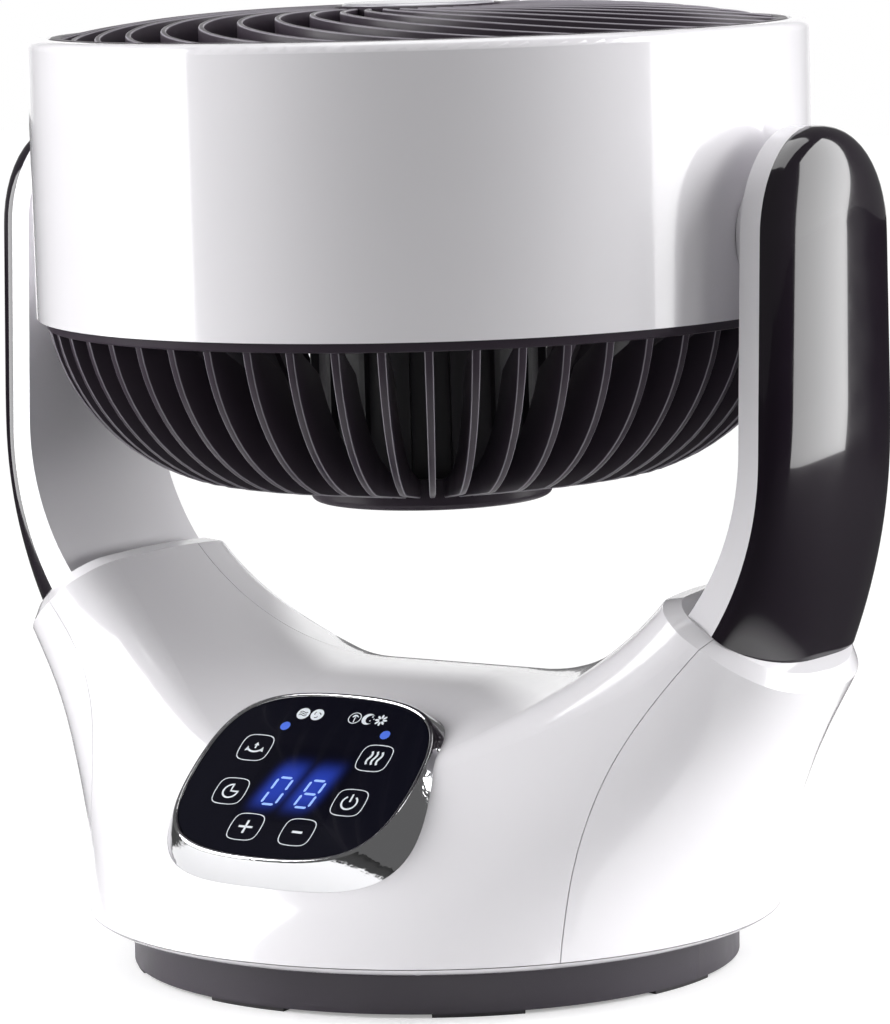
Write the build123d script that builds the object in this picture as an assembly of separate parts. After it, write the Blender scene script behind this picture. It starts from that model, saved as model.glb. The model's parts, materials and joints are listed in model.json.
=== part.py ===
from build123d import *
import math
import os

# Air circulator fan. Millimetres, +Z up, origin on the table under the middle of the foot.
# The front faces -Y, and +X is on the right of someone who looks at the front.

# ---- Driving dimensions: the running clearances and walls ----
turn_gap = 0.05          # radial clearance of a shaft in its bush
seat_gap = 0.3           # axial clearance between pieces that turn past each other
slip_gap = 0.1           # clearance round a piece that drops into a pocket
seam_gap = 0.3           # open line between two mouldings
wall = 2.5               # moulded wall
screw_radius = 1.5
screw_head_radius = 3.2
screw_head_height = 1.5

# ---- Foot, standing still on the table ----
foot_radius = 98.6
foot_top = 14.2
foot_wall = 3.0
pad_height = 1.2
pad_outer_radius = 98.0
pad_inner_radius = 86.0
pad_span = 17.0          # degrees
pad_count = 8
first_pad = -4.5         # degrees from +X
thrust_inner_radius = 60.0
thrust_outer_radius = 66.0
thrust_groove = 1.5
spindle_radius = 14.0
spindle_bore = 9.0
spindle_flange_radius = 24.0
spindle_flange_height = 2.5
retainer_height = 2.0

# ---- Gears ----
tooth_module = 1.25
pinion_teeth = 15
swing_gear_teeth = 45
tilt_gear_teeth = 30
gear_width = 6.0
tilt_gear_width = 4.0
tooth_backlash = 0.3
motor_shaft_radius = 2.5
gear_motor_radius = 14.0
gear_motor_height = 15.0

# ---- Base housing ----
tray_bottom = 15.2
tray_thickness = 2.7
tray_radius = 112.5
tray_foot_radius = 103.0
tray_hub_radius = 20.0
hub_height = 7.8
ridge_height = 94.2      # middle of the saddle between the arms
ridge_half_length = 30.0
ridge_bend_radius = 100.0
ridge_crown = 120.0      # the saddle also curves down to the front and the rear
ridge_fillet = 16.0
shoulder_reach = 27.5    # from the inside of an arm to the inner edge of its seat
shoulder_inner_z = 130.0
shoulder_slope = 36.0    # degrees, falling outwards
shoulder_band = 4.0
arm_screw_reach = 19.0   # down the slope from the inner edge of the seat
seam_rear_y = 16.0       # the front moulding reaches this far over the saddle
shell_screw_circle = 104.0
screw_boss_radius = 6.5
screw_boss_height = 10.0
board_stand = 30.0       # height of the main board above the table
inlet_radius = 6.0
inlet_bore = 3.2
inlet_z = 30.0
inlet_inset = 2.5        # its end lies this far inside the tray's edge
inlet_length = 14.0


# ---- Control panel ----
panel_y = -74.6
panel_z = 69.2
panel_slope = 39.0
glass_width = 80.5
glass_height = 66.5
glass_squareness = 3.0
glass_thickness = 3.0
glass_proud = 0.8
bezel_rim = 1.6
bezel_side_flare = 8.2
bezel_end_flare = 5.0
bezel_squareness = 2.7   # of the outline where the bezel meets the housing
bezel_depth = 11.0
glass_ledge = 2.5
board_thickness = 1.6

# ---- Head ----
head_lean = 1.17         # degrees that the head leans to the front at rest
drum_radius = 125.0
drum_front = 64.0        # lip above the pivot
drum_rear = 24.7         # rim below the pivot
drum_wall = 2.6
lip_width = 7.3
boss_radius = 17.0
axle_radius = 8.0
front_hub_radius = 27.0
vane_count = 30
vane_thickness = 1.8
vane_depth = 7.0
vane_sweep = 75.0        # degrees from hub to rim
vane_middle = 70.0       # a vane passes this radius after vane_middle_turn degrees
vane_middle_turn = 34.0
vane_start = 3.0         # degrees from +X to the first vane's foot at the hub
grille_sag = 7.5
rib_count = 54
rib_thickness = 1.8
rib_depth = 6.0          # at the rim and across the bottom
rib_reach = 22.0         # how far a rib reaches into the bowl
rib_reach_low = 16.0     # the same at the foot of its curve
rib_drop = 9.0           # the deep part starts this far under the rim, clear of the blades
bowl_step = 3.5          # the bowl starts this far inside the drum's side
bowl_bottom_radius = 78.0
bowl_depth = 52.0
rear_cap_radius = 39.0
motor_screw_circle = 28.0
rear_cap_height = 4.0
motor_radius = 36.0

# ---- Fan ----
blade_count = 5
blade_gap = 10.4         # from the blades to the inside of the drum
fan_hub_radius = 33.0
fan_hub_height = 30.0
blade_thickness = 2.4
shaft_radius = 4.0
blade_radius = drum_radius - drum_wall - blade_gap
bowl_top_radius = drum_radius - bowl_step

# ---- Arms ----
pivot_z = 236.3
arm_gap = 9.5            # between the drum and each arm
arm_inner_thickness = 6.8
arm_cover_thickness = 11.5
arm_inner_x = drum_radius + arm_gap
arm_joint_x = arm_inner_x + arm_inner_thickness
arm_outer_x = arm_joint_x + arm_cover_thickness
arm_half_width = 33.4
arm_root_half_width = 39.5   # where the sides of the arm would reach arm_root_z
arm_root_z = 60.0
arm_outer_fillet = 11.0
# Bends of an arm's three upright faces: X above the bend, height where it starts, radius, turn in degrees
arm_inner_bend = (arm_inner_x, 172.5, 82.0, 46.0)
arm_joint_bend = (arm_joint_x, 170.0, 99.0, 40.0)
arm_outer_bend = (arm_outer_x, 185.0, 245.0, 24.0)

# ---- Outline of the housing ----
shoulder_inner_x = arm_inner_x - shoulder_reach
# Height, spread from the tray (0) to the outside of the arms (1), how much less deep than the tray, squareness
housing_levels = (
    (18.2, 0.0, 0.0, 2.0),
    (26.0, 0.027, 4.0, 2.03),
    (38.0, 0.1, 12.5, 2.1),
    (53.0, 0.266, 26.0, 2.25),
    (70.0, 0.469, 41.0, 2.5),
    (88.0, 0.717, 55.0, 2.9),
    (106.0, 0.943, 63.0, 3.6),
    (126.0, 1.141, 65.0, 4.2),
    (142.0, 1.266, 66.0, 4.4),
)
# Half width, half depth and squareness at each height
housing_sections = [(z, tray_radius + spread * (arm_outer_x - tray_radius), tray_radius - narrowing, squareness)
                    for z, spread, narrowing, squareness in housing_levels]

# Front view of the line where the front and rear mouldings meet: half width, height
seam_line = ((89.0, 14.0), (90.3, 37.0), (93.6, 59.4), (shoulder_inner_x - 8.1, 77.7),
             (shoulder_inner_x + 0.7, 93.8), (shoulder_inner_x + 18.6, 115.2), (shoulder_inner_x + 33.0, 131.0))


def ring(outer, inner, low, high):
    """A plain ring about Z between two heights."""
    body = Cylinder(outer, high - low, align=(Align.CENTER, Align.CENTER, Align.MIN))
    bore = Cylinder(inner, high - low, align=(Align.CENTER, Align.CENTER, Align.MIN))
    return Pos(0, 0, low) * (body - bore)


def disc(radius, low, high):
    """A plain disc about Z between two heights."""
    return Pos(0, 0, low) * Cylinder(radius, high - low, align=(Align.CENTER, Align.CENTER, Align.MIN))


def sector(outer, inner, span, low, high):
    """A piece of a plain ring about Z, span degrees wide and centred on +X."""
    start, end = math.radians(-span / 2), math.radians(span / 2)
    a, b = (inner * math.cos(start), inner * math.sin(start)), (outer * math.cos(start), outer * math.sin(start))
    c, d = (outer * math.cos(end), outer * math.sin(end)), (inner * math.cos(end), inner * math.sin(end))
    outline = Line(a, b) + ThreePointArc(b, (outer, 0), c) + Line(c, d) + ThreePointArc(d, (inner, 0), a)
    return Pos(0, 0, low) * extrude(make_face(outline), amount=high - low)


def revolved(points):
    """A solid of revolution about Z from a closed outline of (radius, height) points."""
    return revolve(Plane.XZ * make_face(Polyline(*points, close=True)), Axis.Z)


def save(name, shape):
    shape.label = name
    export_step(shape, "parts/" + name + ".step")


def group(solids):
    """Identical pieces that share one file, each still a solid of its own."""
    return Compound(children=list(solids))


# ---------------------------------------------------------------- gears

def pitch_radius(teeth):
    return tooth_module * teeth / 2


def involute(angle):
    return math.tan(angle) - angle


def gear_outline(teeth, tooth_at):
    """Stub-toothed wheel whose straight flanks join points of the true involute.

    One tooth is centred on the direction tooth_at, in degrees.
    """
    pitch = pitch_radius(teeth)
    base = pitch * math.cos(math.radians(20))
    tip = pitch + 0.8 * tooth_module
    root = pitch - 1.05 * tooth_module
    half_at_pitch = math.pi / (2 * teeth) - tooth_backlash / (2 * pitch)
    points = []

    def half_angle(radius):
        pressure = math.acos(min(1.0, base / radius))
        return half_at_pitch + involute(math.radians(20)) - involute(pressure)

    for tooth in range(teeth):
        middle = math.radians(tooth_at) + 2 * math.pi * tooth / teeth
        for radius, side in ((root, -1), (tip, -1), (tip, 1), (root, 1)):
            angle = middle + side * half_angle(radius)
            points.append((radius * math.cos(angle), radius * math.sin(angle)))
    return make_face(Polyline(*points, close=True))


def gear(teeth, tooth_at, width, bore):
    wheel = extrude(gear_outline(teeth, tooth_at), amount=width)
    if bore > 0:
        wheel -= disc(bore, 0, width)
    return wheel


# ---------------------------------------------------------------- foot

spindle_top = tray_bottom + hub_height + seat_gap + gear_width
swing_centres = pitch_radius(swing_gear_teeth) + pitch_radius(pinion_teeth)
swing_gear_z = tray_bottom + hub_height + seat_gap
flange_bottom = foot_top - spindle_flange_height


def ring_places(radius, count, start=0.0):
    for index in range(count):
        angle = math.radians(start + 360 * index / count)
        yield radius * math.cos(angle), radius * math.sin(angle)


def make_foot():
    skirt_inner = foot_radius - foot_wall
    plate = revolved((
        (0, foot_top),
        (foot_radius, foot_top),
        (foot_radius, pad_height),
        (skirt_inner, pad_height),
        (skirt_inner, foot_top - foot_wall),
        (spindle_flange_radius + 6, foot_top - foot_wall),
        (spindle_flange_radius + 6, flange_bottom - foot_wall),
        (0, flange_bottom - foot_wall),
    ))
    plate = fillet(plate.edges().filter_by(GeomType.CIRCLE).group_by(Axis.Z)[-1], 1.2)
    pads = []
    for index in range(pad_count):
        turn = Rot(0, 0, first_pad + 360 * index / pad_count)
        plate += turn * sector(foot_radius - 1, pad_inner_radius - 1, pad_span + 1, pad_height, foot_top - foot_wall)
        pads.append(turn * sector(pad_outer_radius, pad_inner_radius, pad_span, 0, pad_height))
    plate -= disc(spindle_flange_radius + slip_gap, flange_bottom, foot_top)
    plate -= ring(thrust_outer_radius + slip_gap, thrust_inner_radius - slip_gap,
                  foot_top - thrust_groove, foot_top)
    plate -= disc(spindle_bore, 0, foot_top)

    spindle = disc(spindle_flange_radius, flange_bottom, foot_top)
    spindle += disc(spindle_radius, foot_top, swing_gear_z)
    spindle += disc(spindle_radius - 2, swing_gear_z, spindle_top)
    spindle -= disc(spindle_bore, flange_bottom, spindle_top)

    screws = []
    for x, y in ring_places(spindle_flange_radius - 5, 4, 45):
        plate -= Pos(x, y, 0) * disc(screw_radius, 0, foot_top)
        plate -= Pos(x, y, 0) * disc(screw_head_radius + slip_gap, 0, flange_bottom - foot_wall + screw_head_height)
        spindle -= Pos(x, y, 0) * disc(screw_radius, flange_bottom, foot_top)
        head_low = flange_bottom - foot_wall
        screw = disc(screw_head_radius, head_low, head_low + screw_head_height)
        screw += disc(screw_radius - turn_gap, head_low + screw_head_height, foot_top - 0.2)
        screws.append(Pos(x, y, 0) * screw)

    save("foot_plate", plate)
    save("foot_pads", group(pads))
    save("foot_screws", group(screws))
    save("spindle", spindle)
    save("thrust_ring", ring(thrust_outer_radius, thrust_inner_radius,
                             foot_top - thrust_groove, tray_bottom - seat_gap))
    fixed = gear(swing_gear_teeth, 90, gear_width, spindle_radius - 2)
    save("fixed_gear", Pos(0, 0, swing_gear_z) * fixed)
    save("spindle_retainer", ring(spindle_radius + 3, spindle_bore, spindle_top, spindle_top + retainer_height))


# ---------------------------------------------------------------- base housing

def quarter_curves(half_width, half_depth, squareness, height):
    """A closed superellipse as four quarter curves."""
    pull = (8 * 2 ** (-1 / squareness) - 4) / 3
    quarters = []
    for sx, sy in ((1, 1), (-1, 1), (-1, -1), (1, -1)):
        ends = [(sx * half_width, 0), (sx * half_width, sy * half_depth * pull),
                (sx * half_width * pull, sy * half_depth), (0, sy * half_depth)]
        if sx * sy < 0:
            ends.reverse()
        quarters.append(Bezier(*[(x, y, height) for x, y in ends]))
    return Wire(quarters)


def shoulder_plane(side, drop=0.0):
    """The sloping seat of an arm. Its Z axis points up and outwards."""
    tilt = math.radians(shoulder_slope)
    normal = Vector(side * math.sin(tilt), 0, math.cos(tilt))
    origin = Vector(side * shoulder_inner_x, 0, shoulder_inner_z) - normal * drop
    return Plane(origin=origin, x_dir=(side * math.cos(tilt), 0, -math.sin(tilt)), z_dir=normal)


def ridge_profile(inset):
    """XZ outline of the space over the saddle, down to the ridge."""
    radius = ridge_bend_radius + inset
    centre_z = ridge_height + ridge_bend_radius
    reach = math.radians(80)
    end_x = ridge_half_length + radius * math.sin(reach)
    end_z = centre_z - radius * math.cos(reach)
    low = centre_z - radius
    left = RadiusArc((-end_x, end_z), (-ridge_half_length, low), -radius)
    flat = Line((-ridge_half_length, low), (ridge_half_length, low))
    right = RadiusArc((ridge_half_length, low), (end_x, end_z), -radius)
    lid = Polyline((end_x, end_z), (end_x, end_z + 200), (-end_x, end_z + 200), (-end_x, end_z))
    return make_face(left + flat + right + lid)


def housing_form(inset):
    """The housing without its hollow, made smaller all round by inset."""
    faces = [Face(quarter_curves(a - inset, b - inset, n, z)) for z, a, b, n in housing_sections]
    form = loft(faces)
    crown_axis = Axis((0, 0, ridge_height - ridge_crown), (1, 0, 0))
    cut = revolve(Plane.XZ * ridge_profile(inset), crown_axis, 90)
    form -= cut.rotate(crown_axis, -45)
    for side in (-1, 1):
        form = split(form, bisect_by=shoulder_plane(side, inset), keep=Keep.BOTTOM)
    crest = [edge for edge in form.edges()
             if edge.center().Z > ridge_height - inset - 25
             and abs(edge.center().X) < shoulder_inner_x - 5
             and abs(edge.center().Y) > 15]
    return fillet(crest, ridge_fillet - inset)


def front_region(grow):
    """Everything that belongs to the front moulding, seen from the front, grown by grow."""
    right = [(x + grow, z) for x, z in seam_line]
    left = [(-x, z) for x, z in reversed(right)]
    outline = Spline(right) + Line(right[-1], left[0]) + Spline(left) + Line(left[-1], right[0])
    face = Plane.XZ * make_face(outline)
    depth = 150
    return extrude(Pos(0, seam_rear_y + grow, 0) * face, amount=depth + seam_rear_y)


panel_plane = Plane(
    origin=(0, panel_y, panel_z),
    x_dir=(1, 0, 0),
    z_dir=(0, -math.sin(math.radians(panel_slope)), math.cos(math.radians(panel_slope))),
)


def panel_prism(grow, low, high, flare=(0, 0), low_squareness=glass_squareness):
    """A block with the panel's outline, square to the panel; its low end may be wider by flare."""
    half_width, half_height = glass_width / 2 + grow, glass_height / 2 + grow
    base = quarter_curves(half_width + flare[0], half_height + flare[1], low_squareness, low)
    top = quarter_curves(half_width, half_height, glass_squareness, high)
    return panel_plane.location * loft([Face(base), Face(top)], ruled=True)


def bezel_block(gap):
    """The outside of the bezel, grown by gap."""
    return panel_prism(bezel_rim + gap, -bezel_depth - gap, glass_proud + gap,
                       (bezel_side_flare, bezel_end_flare), bezel_squareness)


def screw(low, high):
    """A screw that points up, its head below low."""
    body = disc(screw_head_radius, low - screw_head_height, low)
    return body + disc(screw_radius - turn_gap, low, high)


def shell_screw_places():
    """Two screws for the front moulding and two for the rear one."""
    for angle in (60, 120, 240, 300):
        place = math.radians(angle)
        yield shell_screw_circle * math.cos(place), shell_screw_circle * math.sin(place)


def arm_screw_places(side):
    """Seats of the two screws that hold an arm, on its shoulder."""
    for y in (-20, 20):
        yield shoulder_plane(side).location * Pos(arm_screw_reach, side * y, 0)


tray_top = tray_bottom + tray_thickness
shell_bottom = housing_sections[0][0]


def with_bands(form, width):
    """The sloping band round the seat of each arm."""
    for side in (-1, 1):
        up = shoulder_plane(side).z_dir
        seats = [face for face in form.faces()
                 if face.geom_type == GeomType.PLANE and (face.normal_at() - up).length < 0.001]
        form = chamfer(seats[0].edges(), width)
    return form


def make_shells():
    shell = with_bands(housing_form(0), shoulder_band) - with_bands(housing_form(wall), shoulder_band - 1)
    boss_top = shell_bottom + screw_boss_height
    places = list(shell_screw_places())
    bosses = [Pos(x, y, 0) * disc(screw_boss_radius, shell_bottom, boss_top) for x, y in places]
    shell += housing_form(wall / 2) & Compound(bosses)
    for x, y in places:
        shell -= Pos(x, y, 0) * disc(screw_radius, shell_bottom, boss_top - 1)
    for side in (-1, 1):
        for place in arm_screw_places(side):
            shell -= place * disc(screw_radius, -wall - 1, 1)
    shell -= bezel_block(slip_gap)
    shell -= panel_prism(bezel_rim + slip_gap, glass_proud, glass_proud + 20)
    inlet_hole = Rot(-90, 0, 0) * disc(inlet_radius + slip_gap, 0, 150)
    shell -= Pos(0, 0, inlet_z) * inlet_hole
    save("front_shell", shell & front_region(0))
    save("rear_shell", shell - front_region(seam_gap))


def make_tray():
    tray = revolve(Plane.XZ * make_face(
        Polyline((0, tray_top), (0, tray_bottom), (tray_foot_radius, tray_bottom))
        + RadiusArc((tray_foot_radius, tray_bottom), (tray_radius, tray_top), -12)
        + Line((tray_radius, tray_top), (0, tray_top))), Axis.Z)
    tray += disc(tray_hub_radius, tray_bottom, tray_bottom + hub_height)
    bush_radius = spindle_radius + 3
    tray -= disc(bush_radius, tray_bottom, tray_bottom + hub_height)
    for x, y in shell_screw_places():
        tray -= Pos(x, y, 0) * disc(screw_radius, tray_bottom, tray_top)
        tray -= Pos(x, y, 0) * disc(screw_head_radius + slip_gap, tray_bottom, tray_bottom + screw_head_height + slip_gap)
    for x, y in bracket_posts:
        tray += Pos(x, y, 0) * disc(3.5, tray_top, bracket_z)
    for x, y in board_posts:
        tray += Pos(x, y, 0) * disc(3, tray_top, board_stand)
    save("base_tray", tray)
    save("swing_bush", ring(bush_radius, spindle_radius + turn_gap, tray_bottom, tray_bottom + hub_height))
    screws = [Pos(x, y, 0) * screw(tray_bottom + screw_head_height + slip_gap, shell_bottom + screw_boss_height - 2)
              for x, y in shell_screw_places()]
    save("shell_screws", group(screws))


bracket_z = spindle_top + 1.3
bracket_thickness = 2.0
bracket_posts = ((-19, 48), (19, 48))
board_posts = ((50, -20), (50, 20), (84, -20), (84, 20))
motor_seat_z = bracket_z + bracket_thickness


def make_inside():
    """Swing drive and electronics on the tray."""
    bracket = Pos(0, 42, bracket_z) * Box(48, 26, bracket_thickness, align=(Align.CENTER, Align.CENTER, Align.MIN))
    bracket -= Pos(0, swing_centres, 0) * disc(motor_shaft_radius + 1.5, bracket_z, motor_seat_z)
    save("swing_motor_bracket", bracket)
    motor = disc(gear_motor_radius, motor_seat_z, motor_seat_z + gear_motor_height)
    motor -= disc(motor_shaft_radius + turn_gap, motor_seat_z, motor_seat_z + 5)
    save("swing_motor", Pos(0, swing_centres, 0) * motor)
    pinion = Pos(0, 0, swing_gear_z) * gear(pinion_teeth, 270 + 180 / pinion_teeth, gear_width, 0)
    pinion += disc(motor_shaft_radius, swing_gear_z + gear_width, motor_seat_z + 4.5)
    save("swing_pinion", Pos(0, swing_centres, 0) * pinion)
    board = Pos(67, 0, board_stand) * Box(46, 52, board_thickness, align=(Align.CENTER, Align.CENTER, Align.MIN))
    board += Pos(60, 8, board_stand + board_thickness) * Box(18, 16, 14, align=(Align.CENTER, Align.CENTER, Align.MIN))
    board += Pos(80, -12, board_stand + board_thickness) * disc(6, 0, 16)
    save("main_board", board)
    outside = tray_radius - inlet_inset
    flange = outside - inlet_length
    inlet = disc(inlet_radius, flange, outside) + disc(inlet_radius + 2, flange - 2, flange)
    inlet -= disc(inlet_bore, flange - 2, outside)
    save("cord_inlet", Pos(0, 0, inlet_z) * (Rot(-90, 0, 0) * inlet))


def make_panel():
    top = glass_proud
    glass_top = top - 0.4
    glass_low = glass_top - glass_thickness
    bezel = bezel_block(0)
    bezel -= panel_prism(slip_gap, glass_low, top + 1)
    bezel -= panel_prism(-glass_ledge, -bezel_depth - 1, glass_low + 1)
    save("panel_bezel", bezel)
    save("panel_glass", panel_prism(0, glass_low, glass_top))
    save("control_board", panel_prism(-glass_ledge - 0.5, glass_low - board_thickness, glass_low))


# ---------------------------------------------------------------- arms

def bend_points(bend, shift):
    """Ends of an upright line that bends inwards and runs straight on, moved outwards by shift."""
    x, start_z, radius, turn = bend
    x, radius, angle = x + shift, radius + shift, math.radians(turn)
    top = (x, pivot_z + arm_half_width + 20)
    start = (x, start_z)
    end = (x - radius + radius * math.cos(angle), start_z - radius * math.sin(angle))
    tail = (end[0] - 40 * math.sin(angle), end[1] - 40 * math.cos(angle))
    return top, start, end, tail, radius


def arm_profile(inner, inner_shift, outer, outer_shift):
    """XZ outline between two bent faces of an arm."""
    a_top, a_start, a_end, a_tail, a_radius = bend_points(inner, inner_shift)
    b_top, b_start, b_end, b_tail, b_radius = bend_points(outer, outer_shift)
    lines = (Line(a_top, a_start) + RadiusArc(a_start, a_end, a_radius) + Line(a_end, a_tail)
             + Line(a_tail, b_tail) + Line(b_tail, b_end) + RadiusArc(b_end, b_start, -b_radius)
             + Line(b_start, b_top) + Line(b_top, a_top))
    return extrude(Plane.XZ * make_face(lines), amount=80, both=True)


def arm_side_outline(inset):
    """YZ outline of an arm: round over the pivot, wider at the root."""
    radius = arm_half_width - inset
    low_y = arm_root_half_width - inset
    drop = pivot_z - arm_root_z
    reach = math.hypot(low_y, drop)
    angle = math.atan2(-drop, low_y) + math.acos(radius / reach)
    touch = (radius * math.cos(angle), pivot_z + radius * math.sin(angle))
    lines = (ThreePointArc((touch[0], touch[1]), (0, pivot_z + radius), (-touch[0], touch[1]))
             + Line((-touch[0], touch[1]), (-low_y, arm_root_z)) + Line((-low_y, arm_root_z), (low_y, arm_root_z))
             + Line((low_y, arm_root_z), (touch[0], touch[1])))
    return Plane.YZ * make_face(lines)


def arm_block(inner, inner_shift, outer, outer_shift, inset):
    block = arm_profile(inner, inner_shift, outer, outer_shift)
    return block & extrude(arm_side_outline(inset), amount=200)


def round_outside(block, x_outer, radius):
    """Round the long outer edge of an arm cover."""
    edges = [edge for edge in block.edges()
             if edge.center().X > x_outer - 6 and edge.center().Z > 80 and edge.length > 20]
    return fillet(edges, radius)


def make_arm(side, name):
    seat = shoulder_plane(1)
    above = shoulder_plane(1, -wall)
    cover = arm_block(arm_joint_bend, 0, arm_outer_bend, 0, 0)
    cover = round_outside(cover, arm_outer_x, arm_outer_fillet)
    hollow = arm_block(arm_joint_bend, -4, arm_outer_bend, -wall, wall)
    hollow = round_outside(hollow, arm_outer_x - wall, arm_outer_fillet - wall)
    cover = split(cover, bisect_by=seat, keep=Keep.TOP)
    cover -= split(hollow, bisect_by=above, keep=Keep.TOP)
    inner = arm_block(arm_inner_bend, 0, arm_joint_bend, 0, 0)
    inner_hollow = arm_block(arm_inner_bend, wall, arm_joint_bend, 4, wall)
    inner = split(inner, bisect_by=seat, keep=Keep.TOP)
    inner -= split(inner_hollow, bisect_by=above, keep=Keep.TOP)
    bush_radius = axle_radius + 3
    inner += along_x(ring(bush_radius + 3, bush_radius, arm_inner_x + wall, arm_inner_x + wall + 1.5))
    inner -= along_x(disc(bush_radius, arm_inner_x - 5, arm_inner_x + wall + 1))
    if side > 0:
        for y in (-18, 18):
            post = Pos(0, y, -tilt_centres) * along_x(disc(3, arm_inner_x + wall, tilt_seat_x))
            inner += post
    for place in arm_screw_places(1):
        boss = place * disc(3.5, wall, 9)
        inner += boss
        inner -= place * disc(screw_radius, -1, 8)
    bush = along_x(ring(bush_radius, axle_radius + turn_gap, arm_inner_x, arm_inner_x + wall + 1.5))
    pieces = {"arm_cover_": cover, "arm_inner_": inner, "pivot_bush_": bush}
    for start, shape in pieces.items():
        if side < 0:
            shape = mirror(shape, about=Plane.YZ)
        save(start + name, shape)


def along_x(shape):
    """Turns a piece made about Z onto the pivot axis, its top towards +X."""
    return Pos(0, 0, pivot_z) * (Rot(0, 90, 0) * shape)


tilt_centres = pitch_radius(tilt_gear_teeth) + pitch_radius(pinion_teeth)
tilt_gear_x = arm_inner_x + wall + 2.0
tilt_seat_x = tilt_gear_x + tilt_gear_width + 0.5
tilt_motor_height = arm_outer_x - wall - tilt_seat_x - 0.5


def make_tilt_drive():
    wheel = gear(tilt_gear_teeth, 0, tilt_gear_width, axle_radius)
    save("tilt_gear", along_x(Pos(0, 0, tilt_gear_x) * wheel))
    pinion = Pos(0, 0, tilt_gear_x) * gear(pinion_teeth, 180 + 180 / pinion_teeth, tilt_gear_width, 0)
    pinion += disc(motor_shaft_radius, tilt_gear_x + tilt_gear_width, tilt_seat_x + 4.5)
    down = Pos(0, 0, -tilt_centres)
    save("tilt_pinion", down * along_x(pinion))
    motor = disc(gear_motor_radius - 2, tilt_seat_x, tilt_seat_x + tilt_motor_height)
    ears = Box(8, 46, 1.5, align=(Align.CENTER, Align.CENTER, Align.MIN))
    motor += Pos(0, 0, tilt_seat_x) * ears
    motor -= disc(motor_shaft_radius + turn_gap, tilt_seat_x, tilt_seat_x + 5)
    save("tilt_motor", down * along_x(motor))


def make_arm_screws():
    screws = []
    for side in (-1, 1):
        for place in arm_screw_places(side):
            screws.append(place * screw(-wall, 7.5))
    save("arm_screws", group(screws))


# ---------------------------------------------------------------- head

head = Pos(0, 0, pivot_z) * Rot(head_lean, 0, 0)
grille_ring_outer = drum_radius - lip_width - slip_gap
grille_ring_inner = grille_ring_outer - 3.5
skirt_low = drum_front - 10.0
dome_edge_z = drum_front - 1.0


def make_drum():
    inner = drum_radius - drum_wall
    lip = drum_radius - lip_width
    drum = revolved((
        (inner, -drum_rear),
        (drum_radius, -drum_rear),
        (drum_radius, drum_front),
        (lip, drum_front),
        (lip, skirt_low),
        (lip + 2, skirt_low),
        (lip + 2, drum_front - 2.5),
        (inner, drum_front - 2.5),
    ))
    rims = drum.edges().filter_by(GeomType.CIRCLE).group_by(Axis.Z)[-1].sort_by(SortBy.RADIUS)
    drum = fillet(rims[-1], 3.0)
    drum = fillet(drum.edges().filter_by(GeomType.CIRCLE).group_by(Axis.Z)[-1].sort_by(SortBy.RADIUS)[0], 1.0)
    axle_hole = Rot(0, 90, 0) * Cylinder(axle_radius, 400)
    drum -= axle_hole
    save("drum_shell", head * drum)

    outside = disc(drum_radius, -50, 50)
    inside = disc(inner, -50, 50)
    nuts = []
    for side, name in ((-1, "left"), (1, "right")):
        turn = Rot(0, 90 * side, 0)
        boss = turn * disc(boss_radius, drum_radius - 10, arm_inner_x - seat_gap) - outside
        axle = turn * disc(axle_radius, drum_radius - 8, arm_inner_x + 10)
        save("pivot_shaft_" + name, head * (boss + axle))
        nut = turn * ring(boss_radius - 3, axle_radius, drum_radius - 8, drum_radius)
        nuts.append(head * (nut & inside))
    save("pivot_nuts", group(nuts))


def grille_level(radius):
    """Height of the grille's front at a radius: it rises evenly from the rim to the hub."""
    run = grille_ring_inner - front_hub_radius
    return dome_edge_z + grille_sag * (grille_ring_inner - radius) / run


def grille_band(inner, outer, level, depth):
    """A ring of the raised grille between two radii, its front moved up by level."""
    low_in = grille_level(inner) + level
    low_out = grille_level(outer) + level
    return revolved(((inner, low_in), (outer, low_out), (outer, low_out - depth), (inner, low_in - depth)))


def at_polar(radius, degrees):
    return Vector(radius * math.cos(math.radians(degrees)), radius * math.sin(math.radians(degrees)))


def make_front_grille():
    start = front_hub_radius - 1.5
    end = grille_ring_inner + 1.5
    line = ThreePointArc(at_polar(start, 0), at_polar(vane_middle, vane_middle_turn), at_polar(end, vane_sweep))
    sides = []
    for offset in (-vane_thickness / 2, vane_thickness / 2):
        share = (line.radius + offset) / line.radius
        centre = line.arc_center
        points = [centre + (line @ step - centre) * share for step in (0, 0.5, 1)]
        sides.append(ThreePointArc(*points))
    outline = sides[0] + Line(sides[0] @ 1, sides[1] @ 1) + sides[1] + Line(sides[1] @ 0, sides[0] @ 0)
    vane = extrude(make_face(outline), amount=100) & grille_band(start, end, 0, vane_depth)
    vanes = [Rot(0, 0, vane_start + 360 * index / vane_count) * vane for index in range(vane_count)]
    rim = ring(grille_ring_outer, grille_ring_inner, skirt_low - 2, dome_edge_z)
    rim += ring(grille_ring_outer + 3.5, grille_ring_inner, skirt_low - 2, skirt_low - slip_gap)
    hub_top = grille_level(front_hub_radius) + 0.5
    hub = disc(front_hub_radius, hub_top - vane_depth, hub_top)
    hub -= disc(front_hub_radius - 2.5, hub_top - 3, hub_top)
    grille = rim.fuse(hub, *vanes)
    save("front_grille", head * grille)
    badge_radius = front_hub_radius - 2.5 - slip_gap
    badge = disc(badge_radius, hub_top - 3, hub_top + 1.2)
    badge = fillet(badge.edges().group_by(Axis.Z)[-1], 1.5)
    save("hub_badge", head * badge)


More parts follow.
